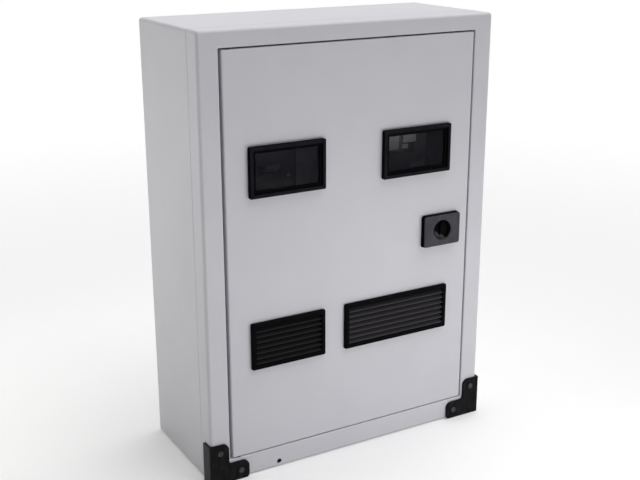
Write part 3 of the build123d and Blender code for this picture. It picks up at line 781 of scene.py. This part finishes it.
def lofted(rings: np.ndarray, looped: bool = False) -> Shape:
    """Skins closed rings of points, each joined to the next by quads.

    The point of ring i and column j is rings[i, j], and quads join (i, j), (i, j + 1), (i + 1, j + 1)
    and (i + 1, j). Rings that run anticlockwise seen from the far end face outwards.

    Args:
        rings: Array of rings by points by three.
        looped: Whether the last ring joins the first. Otherwise both get a flat face.

    Returns:
        The skinned shape.
    """
    count, around = rings.shape[:2]
    rows = np.arange(count if looped else count - 1)[:, None]
    columns = np.arange(around)[None, :]
    after = (columns + 1) % around
    above = (rows + 1) % count
    quads = np.stack(
        [rows * around + columns, rows * around + after, above * around + after, above * around + columns], -1
    )
    faces = quads.reshape(-1, 4).tolist()
    if not looped:
        faces.append(list(range(around))[::-1])
        faces.append([(count - 1) * around + index for index in range(around)])
    return Shape(rings.reshape(-1, 3), faces)


def rounded_rectangle(width: float, height: float, corner: float, steps: int = 6) -> np.ndarray:
    """Gives the outline of a rectangle with round corners, anticlockwise about the origin.

    Each corner is a quarter circle about the point one radius inside both sides.

    Args:
        width: Full width.
        height: Full height.
        corner: Corner radius.
        steps: Points on each corner's arc.

    Returns:
        Array of points by two.
    """
    turns = np.arange(4)[:, None] * pi / 2 + np.linspace(0, pi / 2, steps)[None, :]
    sides = np.array([(1, 1), (-1, 1), (-1, -1), (1, -1)])
    centres = sides * np.array((width / 2 - corner, height / 2 - corner))
    arcs = centres[:, None, :] + corner * np.stack([np.cos(turns), np.sin(turns)], -1)
    return arcs.reshape(-1, 2)


@dataclass(frozen=True)
class Screw:
    """A headed screw with a driven recess, its seat at the origin and its head along the third axis."""

    head_radius: float
    head_height: float
    shank_radius: float
    shank_length: float
    drive: Drive
    around: int = 72
    rings_in_recess: int = 14
    top_share: float = 0.96
    pole_share: float = 0.02
    dome_share: float = 0.28
    wall_share: float = 0.62
    recess_share: float = 0.5
    tip_share: float = 0.8
    bevel_share: float = 0.3
    ease: float = 0.07
    slot_half: float = 0.14
    hexagon_half: float = 0.42
    arm_half: float = 0.13
    arm_reach: float = 0.6

    def shape(self) -> Shape:
        """Builds the screw from rings of circles.

        A ring at share s of the head's radius lies under the head's height by the dome's share of it
        times one less the square root of 1 - s squared, so the top is a low dome, and it sinks by the
        recess's share where the recess covers it. The other rings go along the shank, under the head
        and up its side.

        Returns:
            The screw.
        """
        turn = np.linspace(0, 2 * pi, self.around, endpoint=False)[None, :]
        share = np.linspace(self.top_share, self.pole_share, self.rings_in_recess)[:, None]
        x = self.head_radius * share * np.cos(turn)
        y = self.head_radius * share * np.sin(turn)
        dome = 1 - self.dome_share + self.dome_share * np.sqrt(1 - share**2)
        top = np.stack([x, y, self.head_height * (dome - self.recess_share * self._recess(x, y))], -1)
        sides = np.array([
            (self.pole_share * self.shank_radius, -self.shank_length),
            (self.tip_share * self.shank_radius, -self.shank_length),
            (self.shank_radius, self.bevel_share * self.shank_radius - self.shank_length),
            (self.shank_radius, 0.0),
            (self.head_radius, 0.0),
            (self.head_radius, self.wall_share * self.head_height),
        ])
        radius = sides[:, 0][:, None]
        level = np.broadcast_to(sides[:, 1][:, None], (len(sides), self.around))
        walls = np.stack([radius * np.cos(turn), radius * np.sin(turn), level], -1)
        return lofted(np.concatenate([walls, top]))

    def _recess(self, x: np.ndarray, y: np.ndarray) -> np.ndarray:
        """Gives how far the recess covers each point, from 0 to 1.

        An arm covers what is within its half width and half length, eased over a narrow band.

        Args:
            x: First coordinates on the head.
            y: Second coordinates on the head.

        Returns:
            The cover at each point.
        """
        x, y = x / self.head_radius, y / self.head_radius

        def inside(distance: np.ndarray, limit: float) -> np.ndarray:
            """Falls from 1 to 0 about the limit, both as shares of the head's radius."""
            return np.clip((limit + self.ease - distance) / (2 * self.ease), 0, 1)

        if self.drive is Drive.PLAIN:
            return np.zeros_like(x)
        if self.drive is Drive.SLOT:
            return inside(np.abs(x), self.slot_half)
        if self.drive is Drive.HEXAGON:
            turns = np.arange(3)[:, None, None] * pi / 3
            flats = np.abs(x * np.cos(turns) + y * np.sin(turns)).max(0)
            return inside(flats, self.hexagon_half)
        upright = inside(np.abs(x), self.arm_half) * inside(np.abs(y), self.arm_reach)
        level = inside(np.abs(y), self.arm_half) * inside(np.abs(x), self.arm_reach)
        return np.maximum(upright, level)


ACROSS = Vector((1, 0, 0))
DEEP = Vector((0, 1, 0))
UPRIGHT = Vector((0, 0, 1))


def screw_row(screw: Screw, places: list[Vector], out: Vector, turn: float = 0.35) -> Shape:
    """Sets like screws at several places, each turned a little further than the last.

    Args:
        screw: The screw.
        places: Where each head's seat is.
        out: The way the heads face.
        turn: Turn between one screw and the next, in radians.

    Returns:
        All the screws as one shape.
    """
    first = ACROSS if out.z else UPRIGHT.cross(out)
    second = out.cross(first)
    shape = screw.shape()
    rows = []
    for number, place in enumerate(places):
        angle = turn * number
        across = cos(angle) * first + sin(angle) * second
        rows.append(shape.placed(place, across, out.cross(across), out))
    return Shape.joined(rows)


def shown(thing: Object) -> Object:
    """Links a new object to the scene and gives it back."""
    bpy.context.scene.collection.objects.link(thing)
    return thing


@dataclass(frozen=True)
class Card:
    """A blank card: its middle's place across and up from a point, and its size."""

    across: float
    up: float
    width: float
    height: float
    thickness: float = 0.6 * MM
    corner: float = 0.8 * MM

    def plate(self, middle: Vector) -> Shape:
        """Makes a thin plate with round corners and a front edge bevelled by half its thickness.

        Its rings are the outline at the back, at the bevel's foot, and drawn in by the bevel at the front.

        Args:
            middle: The point, on the face that carries the card.

        Returns:
            The plate, its front towards the door.
        """
        bevel = self.thickness / 2
        outer = rounded_rectangle(self.width, self.height, self.corner)
        inner = rounded_rectangle(self.width - 2 * bevel, self.height - 2 * bevel, self.corner - bevel)
        levels = ((outer, 0.0), (outer, self.thickness - bevel), (inner, self.thickness))
        rings = [np.column_stack([outline, np.full(len(outline), level)]) for outline, level in levels]
        place = middle + self.across * ACROSS + self.up * UPRIGHT
        return lofted(np.array(rings)).placed(place, ACROSS, UPRIGHT, -DEEP)


@dataclass
class SubAssembly(ABC):
    """A group of pieces that are dressed together, and the size of its screws."""

    nodes: dict[str, Object]
    head_height: float = 2.4 * MM
    shank_radius: float = 2 * MM
    same_place: ClassVar[int] = 6

    @abstractmethod
    def dress(self) -> None:
        """Gives the group's nodes their finishes and adds its finer pieces."""

    def paint(self, finish: Finish, *names: str) -> None:
        """Gives CAD nodes a finish in place of their own.

        Args:
            finish: The finish.
            names: The nodes.
        """
        for name in names:
            slots = self.nodes[name].data.materials
            slots.clear()
            slots.append(finish.material())
            log.info("finished %s with %s", name, finish.name)

    def add(
        self, name: str, shape: Shape, finish: Finish, body: Body, slot: str, replaced: tuple[str, ...] = (),
        crease: float = 32.0,
    ) -> None:
        """Adds a piece to the scene.

        Args:
            name: The piece's name.
            shape: Its mesh.
            finish: Its finish.
            body: The body that it rides on.
            slot: The record's material slot for the piece; not used.
            replaced: The CAD nodes that it stands for.
            crease: Angle in degrees past which an edge stays sharp.
        """
        mesh = bpy.data.meshes.new(name)
        mesh.from_pydata(shape.points.tolist(), [], shape.faces)
        mesh.shade_smooth()
        mesh.set_sharp_from_angle(angle=radians(crease))
        mesh.materials.append(finish.material())
        piece = shown(bpy.data.objects.new(name, mesh))
        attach(piece, body.value)
        if replaced:
            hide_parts(*replaced)
        log.info("added %s with %d faces", name, len(shape.faces))

    def set_screws(
        self, node: str, drive: Drive, finish: Finish = ZINC, out: Vector = -DEEP, body: Body = Body.CABINET,
        head_height: float = 0.0,
    ) -> None:
        """Sets screws with a driven recess in place of a node's plain ones, each where it was and as big.

        Args:
            node: The node of the plain screws.
            drive: The recess.
            finish: Their finish.
            out: The way the heads face.
            body: The body that they ride on.
            head_height: How far a head stands out, where it isn't as in the rest of the group.
        """
        head_height = head_height or self.head_height
        boxes = self.islands(node)
        axis = int(np.argmax(np.abs(out)))
        across = (axis + 1) % 3
        low, high = boxes[0]
        length = high[axis] - low[axis] - head_height
        screw = Screw((high[across] - low[across]) / 2, head_height, self.shank_radius, length, drive)
        places = []
        for low, high in boxes:
            seat = (low + high) / 2
            seat[axis] = high[axis] - head_height if out[axis] > 0 else low[axis] + head_height
            places.append(Vector(seat))
        name = f"{drive.value}_{node}"
        self.add(name, screw_row(screw, places, out), finish, body, "zinc_steel", (node,))

    def islands(self, name: str) -> list[tuple[np.ndarray, np.ndarray]]:
        """Finds the separate solids of a node.

        Points at one place, to as many decimals as the class says, count as one. Each takes
        the lowest number among its neighbours along the edges until nothing changes, so that every solid
        ends with a number of its own.

        Args:
            name: The node.

        Returns:
            The low and high corner of each solid's box.
        """
        piece = self.nodes[name]
        points = np.empty(len(piece.data.vertices) * 3)
        piece.data.vertices.foreach_get("co", points)
        turn = np.array(piece.matrix_world)
        points = points.reshape(-1, 3) @ turn[:3, :3].T + turn[:3, 3]
        places, same = np.unique(points.round(self.same_place), axis=0, return_inverse=True)
        edges = np.empty(len(piece.data.edges) * 2, np.int32)
        piece.data.edges.foreach_get("vertices", edges)
        ends = same.ravel()[edges].reshape(-1, 2)
        number = np.arange(len(places))
        settled = False
        while not settled:
            before = number.copy()
            lowest = number[ends].min(1)
            np.minimum.at(number, ends[:, 0], lowest)
            np.minimum.at(number, ends[:, 1], lowest)
            settled = bool((number == before).all())
        groups = [places[number == mark] for mark in np.unique(number)]
        return [(group.min(0), group.max(0)) for group in groups]

    @staticmethod
    def centre(name: str) -> Vector:
        """Gives the middle of a node's box."""
        low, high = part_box(name)
        return (low + high) / 2


@dataclass
class Cabinet(SubAssembly):
    """The folded body, the front frame and the hinge."""

    def dress(self) -> None:
        """Paints the sheet-metal work and plates the hinge."""
        self.paint(WHITE_STEEL, "cabinet_body", "front_frame")
        self.paint(ZINC, "hinge_pins")
        self.paint(DARK_NYLON, "hinge_washers")


@dataclass
class CornerGuards(SubAssembly):
    """The moulded guards on the lower front corners and their screws."""

    head_height: float = 1.6 * MM

    def dress(self) -> None:
        """Finishes the guards and sets cross-recessed screws in place of the plain ones."""
        finish = GuardPlastic(side=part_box("right_corner_guard")[1].x)
        self.paint(finish, "left_corner_guard", "right_corner_guard")
        self.set_screws("guard_screws", Drive.CROSS, BLACKENED)


@dataclass
class Door(SubAssembly):
    """The door pan and its gasket."""

    bead_width: float = 8 * MM
    bead_corner: float = 9 * MM
    bead_power: float = 0.7
    corner_steps: int = 10
    profile_steps: int = 14

    def dress(self) -> None:
        """Paints the pan and lays a round-backed gasket in place of the plain ring."""
        self.paint(WHITE_STEEL, "door_panel")
        self.add("gasket_bead", self.gasket(), GASKET_FOAM, Body.DOOR, "gasket_foam", ("door_gasket",))

    def gasket(self) -> Shape:
        """Carries a D-shaped profile along a rectangle with round corners.

        The profile is flat against the door. Towards the frame its depth is the plain ring's times a
        power of the sine of a half turn, which is a full half oval as wide as the ring.

        Returns:
            The closed bead.
        """
        low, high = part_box("door_gasket")
        width = self.bead_width
        depth = high.y - low.y
        turn = np.linspace(0, pi, self.profile_steps)
        across = 0.5 * width * np.cos(turn)
        deep = depth * np.sin(turn) ** self.bead_power
        middle = (low + high) / 2
        span = high - low
        rings = []
        for offset, level in zip(across, deep):
            outline = rounded_rectangle(
                span.x - width + 2 * offset, span.z - width + 2 * offset, self.bead_corner + offset,
                self.corner_steps,
            )
            rings.append(np.column_stack([
                middle.x + outline[:, 0], np.full(len(outline), low.y + level), middle.z + outline[:, 1]
            ]))
        return lofted(np.array(rings), looped=True)


@dataclass
class Windows(SubAssembly):
    """The two windows with their panes and retaining rings."""

    face: Colour = tone(30, 30, 36)
    shade: Colour = tone(24, 24, 29)
    face_depth: float = 0.5 * MM

    def dress(self) -> None:
        """Finishes the mouldings and tints the panes."""
        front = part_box("left_window_frame")[0].y
        # The window frames' walls behind their face are painted black as shade.
        moulding = FaceOverShadedWallPlastic(
            name="window_plastic", face_y=front, colour=self.shade, second=self.face, depth=self.face_depth
        )
        for side in ("left", "right"):
            self.paint(moulding, f"{side}_window_frame")
            self.paint(RING_PLASTIC, f"{side}_window_retainer")
            self.paint(PANE, f"{side}_window_pane")


@dataclass
class Vents(SubAssembly):
    """The two louvred vents with their filter pads and retainers."""

    rim: float = 6 * MM
    # The slats' colours are painted light: the left vent's darker as shaded, the right vent's paler as lit.
    shaded_left_slat: Colour = tone(38, 38, 39)
    lit_right_slat: Colour = tone(63, 61, 64)
    tuft: float = 2.2 * MM
    relief: float = 0.9 * MM
    rim_rise: Span = (16.0, 12.0)
    crease: float = 180.0
    seed: int = 11

    def dress(self) -> None:
        """Finishes the mouldings and lays uneven mats in place of the plain pads."""
        for side, slat in (("left", self.shaded_left_slat), ("right", self.lit_right_slat)):
            grille = f"{side}_vent_grille"
            low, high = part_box(grille)
            middle, half = (low + high) / 2, (high - low) / 2
            finish = GrillePlastic(
                name=f"{side}_grille_plastic", middle_x=middle.x, middle_z=middle.z, slat=slat,
                half_width=half.x - self.rim, half_height=half.z - self.rim,
            )
            self.paint(finish, grille)
            self.paint(RING_PLASTIC, f"{side}_vent_retainer")
            pad = f"{side}_vent_filter"
            mat = self.mat(pad)
            self.add(f"{side}_filter_mat", mat, FILTER_FIBRE, Body.DOOR, "filter_fibre", (pad,), self.crease)

    def mat(self, pad: str) -> Shape:
        """Carries a closed profile across a pad, its two faces sunk unevenly.

        A face's depth over width and height is a grid of random numbers, averaged with its neighbours
        and eased to nothing at the rim, times the relief. The profile runs up the front and down the back.

        Args:
            pad: The plain pad's node.

        Returns:
            The mat, inside the pad's box.
        """
        low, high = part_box(pad)
        columns = int((high.x - low.x) / self.tuft)
        rows = int((high.z - low.z) / self.tuft)
        heights = np.random.default_rng(self.seed).random((2, columns, rows))
        for axis in (1, 2):
            heights = (np.roll(heights, 1, axis) + 2 * heights + np.roll(heights, -1, axis)) / 4
        u = np.linspace(0, 1, columns)[:, None]
        v = np.linspace(0, 1, rows)[None, :]
        sides, ends = (
            np.clip(rise * np.minimum(w, 1 - w), 0, 1) for rise, w in zip(self.rim_rise, (u, v))
        )
        sunk = self.relief * heights * (sides * ends)
        x = np.broadcast_to(low.x + u * (high.x - low.x), (columns, rows))
        z = np.broadcast_to(low.z + v * (high.z - low.z), (columns, rows))
        front = np.stack([x, low.y + sunk[0], z], -1)
        back = np.stack([x, high.y - sunk[1], z], -1)
        return lofted(np.concatenate([front, back[:, ::-1]], 1))


@dataclass
class Lock(SubAssembly):
    """The quarter-turn lock in the door."""

    head_height: float = 4 * MM
    face: Colour = tone(80, 79, 84)
    shade: Colour = tone(70, 69, 74)
    housing_depth: float = 1.5 * MM
    knob_depth: float = 0.1 * MM

    def dress(self) -> None:
        """Finishes the lock and sets a hexagon-socket screw on its cam."""
        axis, front = self.centre("lock_knob"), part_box("lock_housing")[0].y
        # The housing's walls and the knob are painted black as shade, and the well's lower left gets painted
        # light.
        pieces = (
            ("lock_housing", "lock_plastic", front, self.housing_depth),
            ("lock_knob", "knob_plastic", front - self.housing_depth, self.knob_depth),
        )
        for piece, name, face_y, depth in pieces:
            finish = DishedPlastic(
                name=name, face_y=face_y, colour=self.shade, second=self.face, depth=depth, axis_x=axis.x,
                axis_z=axis.z,
            )
            self.paint(finish, piece)
        self.paint(ZINC, "lock_nut", "lock_cam")
        self.set_screws("lock_cam_screw", Drive.HEXAGON, out=DEEP, body=Body.LOCK)


@dataclass
class MountingPlate(SubAssembly):
    """The plate that carries the equipment, on its stand-offs."""

    def dress(self) -> None:
        """Plates the metalwork."""
        self.paint(ZINC, "mounting_plate", "plate_standoffs", "plate_nuts", "device_rail")


@dataclass
class Meter(SubAssembly):
    """The meter behind the right window."""

    cards: tuple[Card, ...] = (
        Card(-6.4 * MM, 4.7 * MM, 22 * MM, 21 * MM),
        Card(22 * MM, 8.7 * MM, 22 * MM, 12.5 * MM),
        Card(14.8 * MM, -2.6 * MM, 10 * MM, 6.5 * MM),
        Card(37 * MM, -30.9 * MM, 24 * MM, 7.5 * MM),
        Card(44 * MM, -40 * MM, 8 * MM, 4 * MM),
    )

    def dress(self) -> None:
        """Finishes the meter, sets its screws and fixes blank cards on its face."""
        self.paint(METER_PLASTIC, "meter_case")
        self.paint(COVER_PLASTIC, "meter_terminal_cover")
        self.paint(DISPLAY, "meter_display")
        self.set_screws("meter_cover_screws", Drive.CROSS)
        middle = self.centre("meter_display")
        middle.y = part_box("meter_case")[0].y
        cards = Shape.joined([card.plate(middle) for card in self.cards])
        self.add("meter_cards", cards, CARD_LACQUER, Body.CABINET, "nylon")


@dataclass
class Switchgear(SubAssembly):
    """The main switch and the outgoing breaker."""

    rail_head_height: float = 2 * MM
    poles: int = 3
    nose_step: float = 14 * MM
    nose_share: float = 0.52
    well_depth: float = 6 * MM
    terminal: Screw = Screw(4 * MM, 2 * MM, 1.8 * MM, 1 * MM, Drive.SLOT)
    button: Screw = Screw(3.2 * MM, 1.6 * MM, 2 * MM, 0.5 * MM, Drive.PLAIN)
    button_across: float = 31 * MM
    button_up: float = -8 * MM

    def dress(self) -> None:
        """Finishes the cases and the levers and sets the screws, terminals and test button."""
        self.paint(SWITCH_PLASTIC, "main_switch_case", "breaker_case")
        self.paint(LEVER_PLASTIC, "main_switch_lever", "breaker_lever")
        self.set_screws("main_switch_screws", Drive.CROSS)
        self.set_screws("rail_screws", Drive.SLOT, head_height=self.rail_head_height)
        for name, case in (("main_terminals", "main_switch_case"), ("outgoing_terminals", "breaker_case")):
            shape = screw_row(self.terminal, self.wells(case), -DEEP)
            self.add(name, shape, BRASS, Body.CABINET, "brass")
        place = self.centre("main_switch_case") + self.button_across * ACROSS + self.button_up * UPRIGHT
        place.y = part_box("main_switch_case")[0].y
        self.add("test_button", screw_row(self.button, [place], -DEEP), NYLON, Body.CABINET, "nylon")

    def wells(self, case: str) -> list[Vector]:
        """Gives the floors of a case's terminal wells.

        The wells stand in two rows, one pole's width apart, halfway between the nose and each end.

        Args:
            case: The case's node.

        Returns:
            The middle of each well's floor.
        """
        low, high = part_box(case)
        middle = (low + high) / 2
        pitch = (high.x - low.x) / self.poles
        rise = (high.z - low.z) * (1 + self.nose_share) / 4
        floor = low.y + self.nose_step + self.well_depth
        return [
            Vector((middle.x + pitch * (pole - (self.poles - 1) / 2), floor, middle.z + end * rise))
            for end in (-1, 1)
            for pole in range(self.poles)
        ]


@dataclass
class Terminals(SubAssembly):
    """The neutral and earth bars on their supports."""

    def dress(self) -> None:
        """Finishes the bars and the supports and sets slotted screws."""
        self.paint(BRASS, "neutral_bar", "earth_bar")
        self.paint(NYLON, "bar_supports")
        self.set_screws("bar_screws", Drive.SLOT)


@dataclass
class CableEntry(SubAssembly):
    """The gland plate in the bottom and its grommets."""

    head_height: float = 2.2 * MM
    shank_radius: float = 1.8 * MM

    def dress(self) -> None:
        """Finishes the plate and the grommets and sets cross-recessed screws."""
        self.paint(ZINC, "gland_plate")
        self.paint(GROMMET_RUBBER, "cable_grommets")
        self.set_screws("gland_screws", Drive.CROSS, out=UPRIGHT)


@dataclass(frozen=True)
class Lamp:
    """A soft lamp: where it is, where it points, how big, strong and wide it is."""

    name: str
    kind: LampKind
    place: Vector
    aim: Vector
    size: float
    power: float
    colour: Colour = (1.0, 1.0, 1.0)
    tall: float = 0.5
    spread: float = pi

    def hang(self) -> None:
        """Hangs the lamp, out of the camera's sight."""
        light = bpy.data.lights.new(self.name, self.kind.value)
        light.energy = self.power
        light.color = self.colour
        if self.kind is LampKind.SUN:
            light.angle = self.size
        else:
            light.shape = "RECTANGLE"
            light.size, light.size_y = self.size, self.tall
            light.spread = self.spread
        lamp = shown(bpy.data.objects.new(self.name, light))
        lamp.location = self.place
        lamp.rotation_mode = "QUATERNION"
        lamp.rotation_quaternion = (self.place - self.aim).to_track_quat("Z", "Y")
        lamp.visible_camera = False


KEY = Lamp("key", LampKind.SUN, Vector((0.3, -0.05, 0.95)), Vector(), radians(70), 2.7)
FRONT_CARD = Lamp(
    "front_card", LampKind.CARD, Vector((0.3, -0.7, 0.14)), Vector((0.06, -0.09, 0.18)), 0.6, 0.62, tall=0.16,
    spread=radians(120),
)
LEFT_CARD = Lamp(
    "left_card", LampKind.CARD, Vector((-0.9, 0.45, 0.35)), Vector((-0.22, 0.05, 0.3)), 0.5, 0.62,
    colour=(1.0, 0.98, 0.92), tall=0.4, spread=radians(100),
)


@dataclass
class Studio:
    """The pale floor, the soft light and the camera."""

    floor_size: float = 60.0
    floor_colour: Colour = (0.86, 0.86, 0.86)
    near_lift: Colour = (0.14, 0.14, 0.14)
    far_lift: Colour = (0.25, 0.25, 0.25)
    near: float = 0.8
    far: float = 2.4
    sky: float = 0.06
    lamps: tuple[Lamp, ...] = (KEY, FRONT_CARD, LEFT_CARD)
    camera_place: Vector = field(default_factory=lambda: Vector((-0.7132, -1.2355, 0.7391)))
    camera_yaw: float = 29.96
    camera_pitch: float = 17.66
    camera_roll: float = -0.09
    lens: float = 59.11
    sensor: float = 36.0
    clip: Span = (0.01, 200.0)

    def build(self) -> None:
        """Builds the floor, the light and the camera."""
        self.floor()
        self.world()
        for lamp in self.lamps:
            lamp.hang()
        self.camera()

    def floor(self) -> None:
        """Lays a wide matt floor that a camera sees near white and that keeps the shadow."""
        half = self.floor_size / 2
        corners = [(-half, -half, 0), (half, -half, 0), (half, half, 0), (-half, half, 0)]
        mesh = bpy.data.meshes.new("floor")
        mesh.from_pydata(corners, [], [[0, 1, 2, 3]])
        graph = Graph(bpy.data.materials.new("pale_floor"))
        away = graph.signal("ShaderNodeVectorMath", {"operation": "LENGTH"}, {0: graph.place}, "Value")
        lift = away.eased(self.near, self.far).mix(self.near_lift, self.far_lift)
        paint = {"Base Color": self.floor_colour, "Roughness": 1.0, "Specular IOR Level": 0.0}
        glow = {"Emission Color": lift, "Emission Strength": 1.0}
        matt = graph.node("ShaderNodeBsdfPrincipled", {}, paint)
        bright = graph.node("ShaderNodeBsdfPrincipled", {}, paint | glow)
        graph.part(matt, bright, "ShaderNodeOutputMaterial")
        mesh.materials.append(graph.owner)
        floor = shown(bpy.data.objects.new("floor", mesh))

    def world(self) -> None:
        """Surrounds the scene with an even sky, white to the camera and in reflections."""
        world = bpy.data.worlds.new("studio")
        bpy.context.scene.world = world
        graph = Graph(world)
        sky = graph.node("ShaderNodeBackground", {}, {"Color": (1, 1, 1), "Strength": self.sky})
        white = graph.node("ShaderNodeBackground", {}, {"Color": (1, 1, 1)})
        graph.part(sky, white, "ShaderNodeOutputWorld")

    def camera(self) -> None:
        """Sets the camera at the photograph's place, angle and focal length."""
        yaw, pitch = radians(self.camera_yaw), radians(self.camera_pitch)
        ahead = Vector((sin(yaw) * cos(pitch), cos(yaw) * cos(pitch), -sin(pitch)))
        level = Vector((cos(yaw), -sin(yaw), 0))
        above = level.cross(ahead)
        roll = radians(self.camera_roll)
        right = cos(roll) * level + sin(roll) * above
        up = right.cross(ahead)
        lens = bpy.data.cameras.new("camera")
        lens.sensor_width = self.sensor
        lens.sensor_fit = "HORIZONTAL"
        lens.lens = self.lens
        lens.clip_start, lens.clip_end = self.clip
        camera = shown(bpy.data.objects.new("camera", lens))
        axes = Matrix((right, up, -ahead)).transposed().to_4x4()
        camera.matrix_world = Matrix.Translation(self.camera_place) @ axes
        bpy.context.scene.camera = camera


def corners(box: tuple[Vector, Vector]) -> list[list[float]]:
    """Turns a box's two corners into plain lists."""
    return [list(corner) for corner in box]


def main() -> None:
    """Loads the frame, dresses each sub-assembly and builds the studio."""
    logging.basicConfig(level=logging.INFO, format="%(name)s: %(message)s")
    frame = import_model()
    groups = (
        Cabinet, CornerGuards, Door, Windows, Vents, Lock, MountingPlate, Meter, Switchgear, Terminals,
        CableEntry,
    )
    for group in groups:
        group(frame["nodes"]).dress()
    Studio().build()
    bpy.context.scene.view_settings.view_transform = "Standard"


if __name__ == "__main__":
    main()
